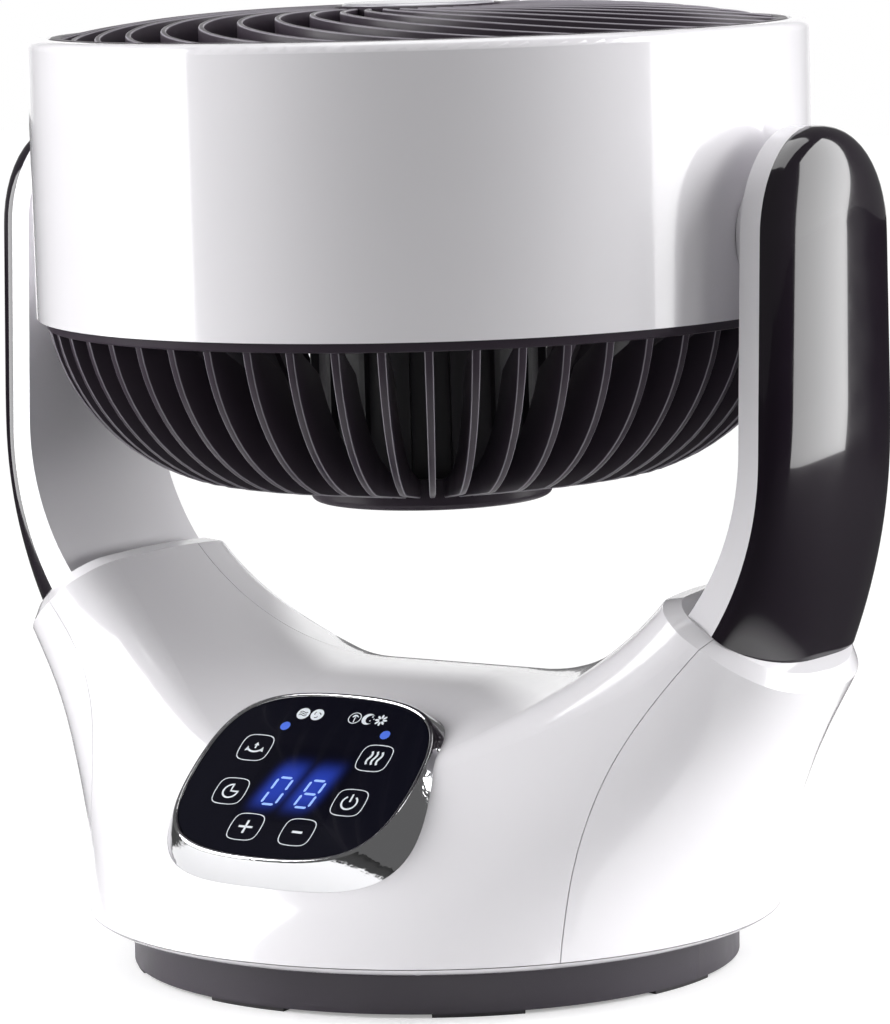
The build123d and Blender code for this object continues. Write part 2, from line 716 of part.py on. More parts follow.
def bowl_rib():
    """One rib of the rear grille, in the XZ half plane."""
    low = -drum_rear - bowl_depth
    top = -drum_rear - 3.0
    mid_x, mid_z = (bowl_top_radius + bowl_bottom_radius) / 2, (top + low) / 2
    run_x, run_z = bowl_top_radius - bowl_bottom_radius, top - low
    length = math.hypot(run_x, run_z)
    sag = 9.0
    out_x, out_z = run_z / length, -run_x / length
    cap = rear_cap_radius - 1
    lower = low - 6.0
    outer_arc = ThreePointArc((bowl_top_radius, top), (mid_x + sag * out_x, mid_z + sag * out_z),
                              (bowl_bottom_radius, low))
    floor_edge = motor_radius + 4
    inner_low = (bowl_bottom_radius - rib_reach_low, low + rib_depth)
    inner_top = (bowl_top_radius - rib_reach, top - rib_drop)
    middle = ((inner_low[0] + inner_top[0]) / 2 + sag * out_x / 2, (inner_low[1] + inner_top[1]) / 2 + sag * out_z / 2)
    outline = (outer_arc + Line((bowl_bottom_radius, low), (cap, lower))
               + Line((cap, lower), (cap, lower + rib_depth))
               + Line((cap, lower + rib_depth), (floor_edge, lower + rib_depth))
               + Line((floor_edge, lower + rib_depth), inner_low) + ThreePointArc(inner_low, middle, inner_top)
               + Line(inner_top, (bowl_top_radius - rib_depth, top))
               + Line((bowl_top_radius - rib_depth, top), (bowl_top_radius, top)))
    face = Plane.XZ * make_face(outline)
    return extrude(face, amount=rib_thickness / 2, both=True), lower


def make_rear_grille():
    rib, lower = bowl_rib()
    flange_top = -drum_rear
    inner = drum_radius - drum_wall - slip_gap
    rim = ring(inner, bowl_top_radius - rib_depth - 1, flange_top - 3.2, flange_top)
    rim += ring(inner, inner - 2.5, flange_top, flange_top + 6)
    centre = ring(rear_cap_radius, axle_radius, lower, lower + rib_depth)
    ribs = [Rot(0, 0, 360 * (index + 0.5) / rib_count) * rib for index in range(rib_count)]
    grille = rim.fuse(centre, *ribs)
    screws = []
    for x, y in ring_places(motor_screw_circle, 4, 45):
        grille -= Pos(x, y, 0) * disc(screw_radius, lower, lower + rib_depth)
        screws.append(head * (Pos(x, y, 0) * Pos(0, 0, lower) * disc(screw_radius - turn_gap, 0, rib_depth + 3)))
    save("rear_grille", head * grille)
    save("grille_screws", group(screws))
    cap = disc(rear_cap_radius, lower - rear_cap_height, lower)
    cap = fillet(cap.edges().group_by(Axis.Z)[0], 2.0)
    save("rear_cap", head * cap)
    return lower + rib_depth


motor_height = 46.0
motor_wall = 2.5
bearing_radius = 10.0
bearing_height = 6.0


def make_motor(floor):
    """Motor on the middle of the rear grille, its shaft on the fan's axis."""
    lid_z = floor + motor_height
    can = disc(motor_radius, floor, lid_z)
    can -= disc(motor_radius - motor_wall, floor + motor_wall, lid_z)
    can += ring(bearing_radius + 2.5, bearing_radius, floor, floor + bearing_height + 2)
    can -= disc(bearing_radius, floor + motor_wall, lid_z)
    fins = []
    for index in range(16):
        fin = Pos(motor_radius + 0.5, 0, floor + 3) * Box(4, 2, motor_height - 6,
                                                         align=(Align.CENTER, Align.CENTER, Align.MIN))
        fins.append(Rot(0, 0, 360 * index / 16) * fin)
    can = can.fuse(*fins)
    for x, y in ring_places(motor_screw_circle, 4, 45):
        can -= Pos(x, y, 0) * disc(screw_radius, floor, floor + 6)
    lid = disc(motor_radius, lid_z, lid_z + motor_wall)
    lid += ring(bearing_radius + 2.5, bearing_radius, lid_z - bearing_height, lid_z)
    lid -= disc(bearing_radius, lid_z - bearing_height, lid_z + 1)
    lid -= disc(shaft_radius + 1, lid_z - 10, lid_z + 10)
    save("motor_housing", head * can)
    save("motor_cover", head * lid)
    stator_radius = motor_radius - motor_wall - slip_gap
    save("stator", head * ring(stator_radius, 21, floor + 12, lid_z - 10))
    lower_bearing = ring(bearing_radius - 0.02, shaft_radius + 0.02, floor + motor_wall, floor + motor_wall + bearing_height)
    upper_bearing = ring(bearing_radius - 0.02, shaft_radius + 0.02, lid_z + 0.8 - bearing_height, lid_z + 0.8)
    save("motor_bearings", group([head * lower_bearing, head * upper_bearing]))
    save("rotor", head * ring(20, shaft_radius, floor + 13, lid_z - 11))
    return lid_z + motor_wall


def blade():
    """One blade, lofted through three cambered sections across its length."""
    faces = []
    for radius, chord, pitch, camber in ((fan_hub_radius - 3, 44, 40, 5), (75, 72, 31, 8),
                                         (blade_radius + 3, 92, 25, 9)):
        half = chord / 2
        thick = blade_thickness / 2
        top = ThreePointArc((-half, thick * 0.5), (0, camber + thick), (half, thick * 0.5))
        low = ThreePointArc((half, -thick * 0.5), (0, camber - thick), (-half, -thick * 0.5))
        outline = top + Line(top @ 1, low @ 0) + low + Line(low @ 1, top @ 0)
        plane = Plane(origin=(radius, 0, 0), x_dir=(0, math.cos(math.radians(pitch)), math.sin(math.radians(pitch))),
                      z_dir=(1, 0, 0))
        faces.append(plane * make_face(outline))
    return loft(faces)


def make_fan(motor_top, floor):
    hub_low = motor_top + 3
    hub_top = hub_low + fan_hub_height
    hub = disc(fan_hub_radius, hub_low, hub_top)
    hub = fillet(hub.edges().group_by(Axis.Z)[-1], 6)
    hub -= disc(fan_hub_radius - 2.5, hub_low, hub_top - 3)
    hub += disc(9, hub_low, hub_top)
    middle = hub_low + fan_hub_height * 0.55
    one = Pos(0, 0, middle) * blade()
    one = one & disc(blade_radius, -100, 100)
    one = one - disc(fan_hub_radius - 1.5, -100, 100)
    blades = [Rot(0, 0, 360 * index / blade_count) * one for index in range(blade_count)]
    fan = hub.fuse(*blades)
    fan -= disc(shaft_radius, hub_low - 1, hub_top + 1)
    save("fan_blades", head * fan)
    shaft_top = hub_top + 12
    save("motor_shaft", head * disc(shaft_radius, floor + motor_wall + 0.5, shaft_top))
    nut = ring(9, shaft_radius, hub_top, hub_top + 9)
    save("fan_nut", head * nut)


os.makedirs("parts", exist_ok=True)
make_foot()
make_shells()
make_tray()
make_inside()
make_panel()
make_arm(1, "right")
make_arm(-1, "left")
make_tilt_drive()
make_arm_screws()
make_drum()
make_front_grille()
motor_floor = make_rear_grille()
motor_lid_top = make_motor(motor_floor)
make_fan(motor_lid_top, motor_floor)
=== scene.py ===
"""Air circulator fan, dressed for the render.

Everything is in metres in the shared frame: +Z up, the control panel and the front face -Y,
origin on the table under the middle of the foot.
"""
import json
import math

import bmesh
import bpy
from mathutils import Matrix, Vector


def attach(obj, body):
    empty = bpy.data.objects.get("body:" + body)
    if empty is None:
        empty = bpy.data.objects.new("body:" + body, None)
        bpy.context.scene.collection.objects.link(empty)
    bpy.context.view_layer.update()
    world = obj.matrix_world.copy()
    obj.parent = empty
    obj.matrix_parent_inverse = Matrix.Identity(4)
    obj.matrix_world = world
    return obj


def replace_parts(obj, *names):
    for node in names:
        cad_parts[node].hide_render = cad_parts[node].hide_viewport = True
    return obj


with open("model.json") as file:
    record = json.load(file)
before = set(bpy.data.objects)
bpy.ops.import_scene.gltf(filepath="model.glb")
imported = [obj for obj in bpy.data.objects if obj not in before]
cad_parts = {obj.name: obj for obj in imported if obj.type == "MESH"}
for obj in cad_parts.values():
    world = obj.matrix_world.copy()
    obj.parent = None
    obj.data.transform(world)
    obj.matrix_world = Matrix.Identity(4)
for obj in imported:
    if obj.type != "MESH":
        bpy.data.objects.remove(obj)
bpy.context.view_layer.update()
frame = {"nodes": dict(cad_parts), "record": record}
nodes = frame["nodes"]
MM = 0.001

# Sizes in millimetres and degrees, as the solids have them; heights on the head are from the pivot
PIVOT_Z = 236.3
HEAD_LEAN = 1.17         # the fan's axis leans this far towards the panel

# Drum and rear grille
DRUM_RADIUS = 125.0
DRUM_FRONT = 64.0
DRUM_REAR = 24.7
BOWL_TOP_RADIUS = 121.5
BOWL_BOTTOM_RADIUS = 78.0
BOWL_DEPTH = 52.0
RIB_COUNT = 54
RIB_DEPTH = 6.0
RIB_SAG = 9.0
RIB_THICK_TOP = 2.7
RIB_THICK_FOOT = 1.6
RIB_TAPER = 0.8          # a rib's inner edge has this share of its thickness
RIB_EDGE = ((0.0, 0.4), (0.12, 0.12), (0.45, 0.0))      # its rounding: in from the edge, in from the side
RIB_REACH_TOP = 22.0     # how far in a rib reaches near the rim, this far under the flange, and at the foot
RIB_REACH_DROP = 9.0
RIB_REACH_FOOT = 16.0
FLANGE_THICK = 3.0
RIM_GAP = 2.9            # between the rim and the outside of the drum
RIM_LIP = 6.0            # the rim's lip goes this far up into the drum
RIM_WALL = 2.5
CAP_RADIUS = 39.0
CAP_DROP = 6.0           # the flat middle lies this far under the foot of the bowl's curve
CAP_HOLE_RADIUS = 8.0

# Front grille
RING_INSIDE = 114.1
RING_WALL = 3.5
RING_DEPTH = 12.0
RING_FLANGE_WIDE = 3.5
RING_FLANGE_THICK = 1.7
HUB_RADIUS = 27.0
HUB_RIM = 2.5
BADGE_SEAT = 3.0         # depth of the seat of the badge in the hub
GRILLE_RISE = 6.9
GRILLE_DOME = 2.6        # how flat the middle of the front grille is
VANE_COUNT = 30
VANE_THICK = 1.8
VANE_DEPTH = 7.0
VANE_EDGE = ((0.0, 0.55), (0.16, 0.16), (0.5, 0.0))     # its rounding: in from the side, down from the front
VANE_SWEEP = 75.0
VANE_MIDDLE = 70.0
VANE_MIDDLE_TURN = 34.0
VANE_START = 3.0

# Control panel
PANEL_Y = -74.6
PANEL_Z = 69.2
PANEL_SLOPE = 39.0
GLASS_WIDTH = 80.5
GLASS_HEIGHT = 66.5
GLASS_FACE = 0.4         # the glass lies this far out of the panel's plane

# Arms
ARM_INNER_X = 134.5
ARM_HALF_WIDTH = 33.4
ARM_ROOT_HALF_WIDTH = 39.5
ARM_ROOT_Z = 60.0
COVER_CROWN = 1.0        # the middle of a cover stands this far out of the solid's flat face
COVER_FRONT = 2.2        # how square a cover's front edge is: 2 is an ellipse
COVER_REAR = 4.0
COVER_ACROSS = 20        # steps from a cover's edge to its middle line, up a side and over its top
COVER_UPRIGHTS = 30
COVER_TURNS = 24
COVER_CROWDING = 0.8     # the steps across lie closer together at the edge
JOINT_BEND = (141.3, 170.0, 99.0, 40.0)   # X of the upright part, height of the bend, radius, degrees
OUTER_BEND = (152.8, 185.0, 245.0, 24.0)
SHOULDER_X = 107.0
SHOULDER_Z = 130.0
SHOULDER_SLOPE = 36.0
SHOULDER_GAP = 0.02
SHOULDER_ROUNDS = 40     # rounds in which the foot of a cover closes in on the shoulder
BOSS_RADIUS = 17.0
ON_AXIS = 0.01           # a radius as good as none


# ---------------------------------------------------------------- finishes

def shader(name):
    """A new material with its main shader and the object's own coordinates."""
    material = bpy.data.materials.new(name)
    material.use_nodes = True
    tree = material.node_tree
    main = tree.nodes["Principled BSDF"]
    place = tree.nodes.new("ShaderNodeTexCoord")
    return material, tree, main, place.outputs["Object"]


def speckle(tree, where, size, detail):
    """Soft random pattern whose blobs are about size millimetres across."""
    noise = tree.nodes.new("ShaderNodeTexNoise")
    noise.inputs["Scale"].default_value = 1 / (size * MM)
    noise.inputs["Detail"].default_value = detail
    tree.links.new(where, noise.inputs["Vector"])
    return noise.outputs["Fac"]


def ranged(tree, value, before, after):
    """Maps a value from one span onto another."""
    node = tree.nodes.new("ShaderNodeMapRange")
    for label, number in zip(("From Min", "From Max", "To Min", "To Max"), (*before, *after)):
        node.inputs[label].default_value = number
    tree.links.new(value, node.inputs["Value"])
    return node.outputs["Result"]


def spread(tree, pattern, low, high):
    """Maps the span that a random pattern mostly keeps to onto a narrow one."""
    return ranged(tree, pattern, (0.3, 0.7), (low, high))


def tinted(tree, factor, first, second):
    """Colour that drifts between two near tones."""
    node = tree.nodes.new("ShaderNodeMix")
    node.data_type = "RGBA"
    node.inputs["A"].default_value = (*first, 1)
    node.inputs["B"].default_value = (*second, 1)
    tree.links.new(factor, node.inputs["Factor"])
    return node.outputs["Result"]


def raised(tree, main, height, depth):
    """Surface relief from a pattern, depth in millimetres."""
    bump = tree.nodes.new("ShaderNodeBump")
    bump.inputs["Strength"].default_value = 1.0
    bump.inputs["Distance"].default_value = depth * MM
    tree.links.new(height, bump.inputs["Height"])
    tree.links.new(bump.outputs["Normal"], main.inputs["Normal"])


TONE_PATCH = 60          # size of the patches in which a finish drifts in tone, and in gloss
GLOSS_PATCH = 14


def moulding(name, tone, shade, rough, grain, coat=0.0, coat_rough=0.05, metal=0.0, shine=0.5):
    """Moulded or painted surface: slow drift of tone, uneven gloss and a fine skin texture.

    rough is the roughness and how far it drifts, grain the size and the depth of the texture in millimetres.
    """
    material, tree, main, where = shader(name)
    middle, drift = rough
    size, depth = grain
    slow = speckle(tree, where, TONE_PATCH, 2)
    tree.links.new(tinted(tree, slow, tone, shade), main.inputs["Base Color"])
    smears = speckle(tree, where, GLOSS_PATCH, 4)
    tree.links.new(spread(tree, smears, middle - drift, middle + drift), main.inputs["Roughness"])
    raised(tree, main, speckle(tree, where, size, 2), depth)
    main.inputs["Coat Weight"].default_value = coat
    main.inputs["Coat Roughness"].default_value = coat_rough
    main.inputs["Metallic"].default_value = metal
    main.inputs["Specular IOR Level"].default_value = shine
    return material


def painted_edge_highlights(material, tone):
    """Paints a highlight on the marked edges of a piece: they show in a lighter tone."""
    tree = material.node_tree
    main = tree.nodes["Principled BSDF"]
    mark, mix = tree.nodes.new("ShaderNodeAttribute"), tree.nodes.new("ShaderNodeMix")
    mark.attribute_name = "edge"
    mix.data_type = "RGBA"
    plain = main.inputs["Base Color"].links[0].from_socket
    tree.links.new(plain, mix.inputs["A"])
    mix.inputs["B"].default_value = (*tone, 1)
    tree.links.new(mark.outputs["Fac"], mix.inputs["Factor"])
    tree.links.new(mix.outputs["Result"], main.inputs["Base Color"])


WHITE = moulding("white_high_gloss", (0.80, 0.785, 0.815), (0.77, 0.755, 0.785), rough=(0.16, 0.03),
                 grain=(5.0, 0.012), coat=0.7, coat_rough=0.03)
COVER = moulding("aubergine_black_gloss", (0.007, 0.0045, 0.0085), (0.011, 0.007, 0.012), rough=(0.12, 0.02),
                 grain=(7.0, 0.008), coat=1.0, coat_rough=0.03, shine=0.4)
GRILLE = moulding("grille_black", (0.034, 0.026, 0.036), (0.042, 0.033, 0.044), rough=(0.34, 0.05),
                  grain=(0.7, 0.02), shine=0.3)
# painted highlight: the marked rounded edges of the ribs and vanes show in this light grey
painted_edge_highlights(GRILLE, (0.34, 0.32, 0.36))
FOOT = moulding("foot_dark_grey", (0.034, 0.028, 0.038), (0.028, 0.023, 0.032), rough=(0.36, 0.05),
                grain=(0.6, 0.03))
RUBBER = moulding("pad_rubber", (0.02, 0.019, 0.021), (0.03, 0.028, 0.03), rough=(0.7, 0.08),
                  grain=(0.8, 0.04))
SILVER = moulding("badge_silver", (0.55, 0.54, 0.58), (0.6, 0.59, 0.63), rough=(0.3, 0.04),
                  grain=(0.8, 0.001), coat=0.5, metal=0.4)
CHROME = moulding("bezel_chrome", (0.86, 0.86, 0.88), (0.82, 0.82, 0.84), rough=(0.05, 0.02),
                  grain=(3.0, 0.09), metal=1.0)
GLASS = moulding("panel_black_glass", (0.004, 0.004, 0.008), (0.006, 0.006, 0.011), rough=(0.1, 0.02),
                 grain=(12.0, 0.004), coat=0.1, coat_rough=0.02, shine=0.15)
STEEL = moulding("zinc_steel", (0.55, 0.55, 0.57), (0.62, 0.62, 0.63), rough=(0.3, 0.06),
                 grain=(0.8, 0.01), metal=1.0)
ACETAL = moulding("natural_acetal", (0.76, 0.75, 0.71), (0.70, 0.69, 0.65), rough=(0.45, 0.05),
                  grain=(0.9, 0.01))
FRAME_PLASTIC = moulding("structural_black", (0.035, 0.034, 0.037), (0.045, 0.044, 0.047), rough=(0.55, 0.06),
                         grain=(0.7, 0.03))
MOTOR = moulding("motor_black", (0.022, 0.021, 0.024), (0.032, 0.03, 0.033), rough=(0.5, 0.08),
                 grain=(1.2, 0.05))
FAN = moulding("fan_black", (0.02, 0.017, 0.021), (0.026, 0.022, 0.027), rough=(0.28, 0.05),
               grain=(2.0, 0.01))
BOARD = moulding("board_green", (0.02, 0.12, 0.045), (0.015, 0.09, 0.035), rough=(0.35, 0.05),
                 grain=(1.5, 0.02))
IRON = moulding("laminated_iron", (0.2, 0.19, 0.185), (0.26, 0.25, 0.24), rough=(0.5, 0.08),
                grain=(0.6, 0.03), metal=0.9)


def lit(name, colour, glow, strength):
    """Printed or lit film: a plain tone with a little speckle, shining by itself."""
    material, tree, main, where = shader(name)
    grain = speckle(tree, where, 0.8, 2)
    faint = tuple(channel * 0.92 for channel in colour)
    tree.links.new(tinted(tree, grain, colour, faint), main.inputs["Base Color"])
    main.inputs["Roughness"].default_value = 0.4
    main.inputs["Emission Color"].default_value = (*glow, 1)
    main.inputs["Emission Strength"].default_value = strength
    return material


def display_glass():
    """Black glass over the display: blue light that fades away from the digits."""
    material, tree, main, where = shader("display_glow")
    smears = speckle(tree, where, 12, 3)
    tree.links.new(spread(tree, smears, 0.05, 0.09), main.inputs["Roughness"])
    main.inputs["Base Color"].default_value = (0.004, 0.004, 0.008, 1)
    main.inputs["Specular IOR Level"].default_value = 0.15
    bright = tree.nodes.new("ShaderNodeAttribute")
    bright.attribute_name = "light"
    shade = tree.nodes.new("ShaderNodeMix")
    shade.data_type = "RGBA"
    shade.inputs["A"].default_value = (0, 0, 0, 1)
    shade.inputs["B"].default_value = (0.02, 0.05, 0.42, 1)
    tree.links.new(bright.outputs["Fac"], shade.inputs["Factor"])
    tree.links.new(shade.outputs["Result"], main.inputs["Emission Color"])
    main.inputs["Emission Strength"].default_value = 1.0
    return material


PRINT = lit("key_print", (0.62, 0.65, 0.68), (0.6, 0.65, 0.7), 0.25)
LAMP_BLUE = lit("lamp_blue", (0.03, 0.07, 0.3), (0.05, 0.11, 0.5), 0.9)
DIGIT_BLUE = lit("digit_blue", (0.2, 0.28, 0.5), (0.2, 0.36, 0.85), 0.8)
DISPLAY = display_glass()

FINISHES = {
    "white_gloss": WHITE, "black_gloss": COVER, "grille_black": GRILLE, "foot_grey": FOOT,
    "pad_rubber": RUBBER, "badge_silver": SILVER, "bezel_chrome": CHROME, "panel_black_glass": GLASS,
    "steel": STEEL, "acetal": ACETAL, "frame_plastic": FRAME_PLASTIC, "motor_black": MOTOR,
    "fan_black": FAN, "board_green": BOARD, "motor_iron": IRON,
}
for entry in frame["record"]["subparts"]:
    part = nodes[entry["node"]]
    part.data.materials.clear()
    part.data.materials.append(FINISHES[entry["material_slot"]])


# ---------------------------------------------------------------- making meshes

def on_head(point):
    """A place on the head, in millimetres from the pivot with the fan's axis up, as a place in the scene."""
    lean = math.radians(HEAD_LEAN)
    x, y, z = point
    return Vector((x, y * math.cos(lean) - z * math.sin(lean),
                   y * math.sin(lean) + z * math.cos(lean) + PIVOT_Z)) * MM


def on_panel(u, v, out):
    """A place on the control panel: across, up its slope and out of it, in millimetres."""
    slope = math.radians(PANEL_SLOPE)
    return Vector((u, PANEL_Y + v * math.cos(slope) - out * math.sin(slope),
                   PANEL_Z + v * math.sin(slope) + out * math.cos(slope))) * MM


def in_scene(name, content):
    """A new object in the scene, at the origin."""
    holder = bpy.data.objects.new(name, content)
    bpy.context.scene.collection.objects.link(holder)
    return holder


def shaped(name, corners, faces, finish, crease=40):
    """A new piece from its corners in metres, with outward faces and shading that breaks at sharp edges."""
    mesh = bpy.data.meshes.new(name)
    mesh.from_pydata([tuple(corner) for corner in corners], [], faces)
    work = bmesh.new()
    work.from_mesh(mesh)
    bmesh.ops.remove_doubles(work, verts=work.verts, dist=0.002 * MM)
    bmesh.ops.recalc_face_normals(work, faces=work.faces)
    work.to_mesh(mesh)
    work.free()
    mesh.shade_smooth()
    mesh.set_sharp_from_angle(angle=math.radians(crease))
    mesh.materials.append(finish)
    return in_scene(name, mesh)


def skin(loops, closed_path=False, capped=False):
    """Faces that join loops of equally many corners; the loops lie one after another in the corner list."""
    count, size = len(loops), len(loops[0])
    faces = []
    for ring in range(count if closed_path else count - 1):
        here, there = ring * size, (ring + 1) % count * size
        for side in range(size):
            after = (side + 1) % size
            faces.append((here + side, here + after, there + after, there + side))
    if capped:
        faces += [tuple(range(size)), tuple(range((count - 1) * size, count * size))]
    return [corner for loop in loops for corner in loop], faces


def turned(name, outline, finish, steps=180):
    """A ring or disc turned about the fan's axis from a closed outline of (radius, height) points."""
    loops = []
    for step in range(steps):
        angle = 2 * math.pi * step / steps
        across, along_y = math.cos(angle), math.sin(angle)
        loops.append([on_head((radius * across, radius * along_y, z)) for radius, z in outline])
    corners, faces = skin(loops, closed_path=True)
    return shaped(name, corners, faces, finish)


def plain_mesh(piece, name):
    """What the modifiers make of the piece, as a plain mesh in a new object; the old one goes."""
    bpy.context.view_layer.update()
    seen = piece.evaluated_get(bpy.context.evaluated_depsgraph_get())
    mesh = bpy.data.meshes.new_from_object(seen)
    mesh.name = name
    piece.modifiers.clear()
    bpy.data.objects.remove(piece)
    return in_scene(name, mesh)


def around_tree():
    """Node tree: copies of a shape, evenly spaced about the Z axis."""
    tree = bpy.data.node_groups.new("around_the_axis", "GeometryNodeTree")
    inputs = ("Shape", "Geometry"), ("Copies", "Int"), ("First turn", "Float"), ("Finish", "Material")
    for label, kind in inputs:
        tree.interface.new_socket(label, in_out="INPUT", socket_type="NodeSocket" + kind)
    tree.interface.new_socket("Shape", in_out="OUTPUT", socket_type="NodeSocketGeometry")
    new, link = tree.nodes.new, tree.links.new
    given, result = new("NodeGroupInput"), new("NodeGroupOutput")
    step, turn = new("ShaderNodeMath"), new("ShaderNodeMath")
    points, index = new("GeometryNodePoints"), new("GeometryNodeInputIndex")
    angles, rotation = new("ShaderNodeCombineXYZ"), new("FunctionNodeEulerToRotation")
    copies, real, finish = (new("GeometryNodeInstanceOnPoints"), new("GeometryNodeRealizeInstances"),
                            new("GeometryNodeSetMaterial"))
    step.operation, turn.operation = "DIVIDE", "MULTIPLY_ADD"
    step.inputs[0].default_value = 2 * math.pi
    link(given.outputs["Copies"], step.inputs[1])
    link(given.outputs["Copies"], points.inputs["Count"])
    link(index.outputs[0], turn.inputs[0])
    link(step.outputs[0], turn.inputs[1])
    link(given.outputs["First turn"], turn.inputs[2])
    link(turn.outputs[0], angles.inputs["Z"])
    link(angles.outputs[0], rotation.inputs[0])
    link(points.outputs[0], copies.inputs["Points"])
    link(given.outputs["Shape"], copies.inputs["Instance"])
    link(rotation.outputs[0], copies.inputs["Rotation"])
    link(copies.outputs[0], real.inputs[0])
    link(real.outputs[0], finish.inputs["Geometry"])
    link(given.outputs["Finish"], finish.inputs["Material"])
    link(finish.outputs[0], result.inputs[0])
    return tree


AROUND = around_tree()


def mark_painted_highlights(seed, section_size, edge_corners):
    """Marks the middle of the rounding of a rib or vane, at those corners of its section, for a painted
    highlight.
    """
    marks = seed.data.attributes.new("edge", "FLOAT", "POINT")
    marks.data.foreach_set("value", [float(index % section_size in edge_corners)
                                     for index in range(len(seed.data.vertices))])
    return seed


def around(name, seed, copies, first_degrees, finish):
    """The seed piece, made about the origin, repeated round the fan's axis and set on the head."""
    modifier = seed.modifiers.new("around", "NODES")
    modifier.node_group = AROUND
    sockets = {item.name: item.identifier for item in AROUND.interface.items_tree if item.in_out == "INPUT"}
    modifier[sockets["Copies"]] = copies
    modifier[sockets["First turn"]] = math.radians(first_degrees)
    modifier[sockets["Finish"]] = finish
    piece = plain_mesh(seed, name)
    for vertex in piece.data.vertices:
        vertex.co = on_head(vertex.co / MM)
    piece.data.update()
    return piece


def joined(name, pieces):
    """Several pieces as one, each part keeping its shading."""
    whole = bmesh.new()
    finish = pieces[0].data.materials[0]
    for piece in pieces:
        whole.from_mesh(piece.data)
        bpy.data.objects.remove(piece)
    mesh = bpy.data.meshes.new(name)
    whole.to_mesh(mesh)
    whole.free()
    mesh.materials.append(finish)
    return in_scene(name, mesh)


def along(points, count):
    """count points evenly spaced along a line of (x, y) points."""
    reach = [0.0]
    for first, second in zip(points, points[1:]):
        reach.append(reach[-1] + math.dist(first, second))
    spaced, leg = [], 0
    for step in range(count):
        want = reach[-1] * step / (count - 1)
        while leg < len(points) - 2 and reach[leg + 1] < want:
            leg += 1
        share = (want - reach[leg]) / (reach[leg + 1] - reach[leg])
        spaced.append(tuple(a + (b - a) * share for a, b in zip(points[leg], points[leg + 1])))
    return spaced


def arc_through(start, middle, end, count):
    """count points on the circle arc through three (x, y) points."""
    (ax, ay), (bx, by), (cx, cy) = start, middle, end
    twist = 2 * (ax * (by - cy) + bx * (cy - ay) + cx * (ay - by))
    a2, b2, c2 = ax * ax + ay * ay, bx * bx + by * by, cx * cx + cy * cy
    x = (a2 * (by - cy) + b2 * (cy - ay) + c2 * (ay - by)) / twist
    y = (a2 * (cx - bx) + b2 * (ax - cx) + c2 * (bx - ax)) / twist
    radius = math.hypot(ax - x, ay - y)
    first = math.atan2(ay - y, ax - x)
    sweep = math.remainder(math.atan2(cy - y, cx - x) - first, 2 * math.pi)
    return [(x + radius * math.cos(first + sweep * step / (count - 1)),
             y + radius * math.sin(first + sweep * step / (count - 1))) for step in range(count)]


# ---------------------------------------------------------------- grilles

def rib():
    """One rib of the bowl: deep, thinner towards the foot, its outer edge rounded."""
    top, low = -DRUM_REAR - FLANGE_THICK, -DRUM_REAR - BOWL_DEPTH
    lower = low - CAP_DROP
    run_x, run_z = BOWL_TOP_RADIUS - BOWL_BOTTOM_RADIUS, top - low
    length = math.hypot(run_x, run_z)
    sag_x, sag_z = RIB_SAG * run_z / length, -RIB_SAG * run_x / length

    def bowed(start, end, share, count):
        """An arc between two (x, z) points that bows out by a share of the sag."""
        middle = (start[0] + end[0]) / 2 + sag_x * share, (start[1] + end[1]) / 2 + sag_z * share
        return arc_through(start, middle, end, count)

    outer = bowed((BOWL_TOP_RADIUS, top), (BOWL_BOTTOM_RADIUS, low), 1, 16) + [(CAP_RADIUS - 1, lower)]
    inner_top = BOWL_TOP_RADIUS - RIB_REACH_TOP, top - RIB_REACH_DROP
    inner_low = BOWL_BOTTOM_RADIUS - RIB_REACH_FOOT, low + RIB_DEPTH
    inner = ([(BOWL_TOP_RADIUS - RIB_DEPTH, top)] + bowed(inner_top, inner_low, 0.5, 12)
             + [(CAP_RADIUS + 1, lower + RIB_DEPTH), (CAP_RADIUS - 1, lower + RIB_DEPTH)])
    stations = 22
    loops = []
    for station, (out, back) in enumerate(zip(along(outer, stations), along(inner, stations))):
        half = (RIB_THICK_TOP + (RIB_THICK_FOOT - RIB_THICK_TOP) * station / (stations - 1)) / 2
        depth = math.dist(out, back)
        left = [(inward, aside - half) for inward, aside in RIB_EDGE] + [(depth, -half * RIB_TAPER)]
        section = left + [(inward, -side) for inward, side in reversed(left)]
        loop = []
        for inward, side in section:
            x, z = (a + (b - a) * inward / depth for a, b in zip(out, back))
            loop.append(Vector((x, side, z)) * MM)
        loops.append(loop)
    corners, faces = skin(loops, capped=True)
    # the two corners of the rib's rounded edge carry a painted highlight
    return mark_painted_highlights(shaped("rib", corners, faces, GRILLE, crease=50), len(section), (1, 6))


def make_bowl():
    """Rear grille: deep ribs from the rim down to the flat middle."""
    ribs = around("ribs", rib(), RIB_COUNT, 180 / RIB_COUNT, GRILLE)
    flange = -DRUM_REAR
    inside, outside = BOWL_TOP_RADIUS - RIB_DEPTH - 1, DRUM_RADIUS - RIM_GAP
    under = flange - FLANGE_THICK
    rim = turned("rim", [(outside, flange + RIM_LIP), (outside, under + 0.5), (outside - 0.2, under),
                         (outside - 0.7, under - 0.2), (inside + 0.5, under - 0.2), (inside, under + 0.2),
                         (inside, flange), (outside - RIM_WALL, flange),
                         (outside - RIM_WALL, flange + RIM_LIP)], GRILLE)
    lower = flange - BOWL_DEPTH - CAP_DROP
    middle = turned("middle", [(CAP_RADIUS, lower), (CAP_RADIUS, lower + RIB_DEPTH),
                               (CAP_HOLE_RADIUS, lower + RIB_DEPTH), (CAP_HOLE_RADIUS, lower)], GRILLE, 96)
    bowl = joined("rear_bowl_grille", [ribs, rim, middle])
    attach(bowl, "head")
    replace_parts(bowl, "rear_grille")


def grille_height(radius):
    """The front grille swells from its ring to the hub."""
    share = (max(radius, HUB_RADIUS) - HUB_RADIUS) / (RING_INSIDE - HUB_RADIUS)
    return DRUM_FRONT + GRILLE_RISE * (1 - share ** GRILLE_DOME)


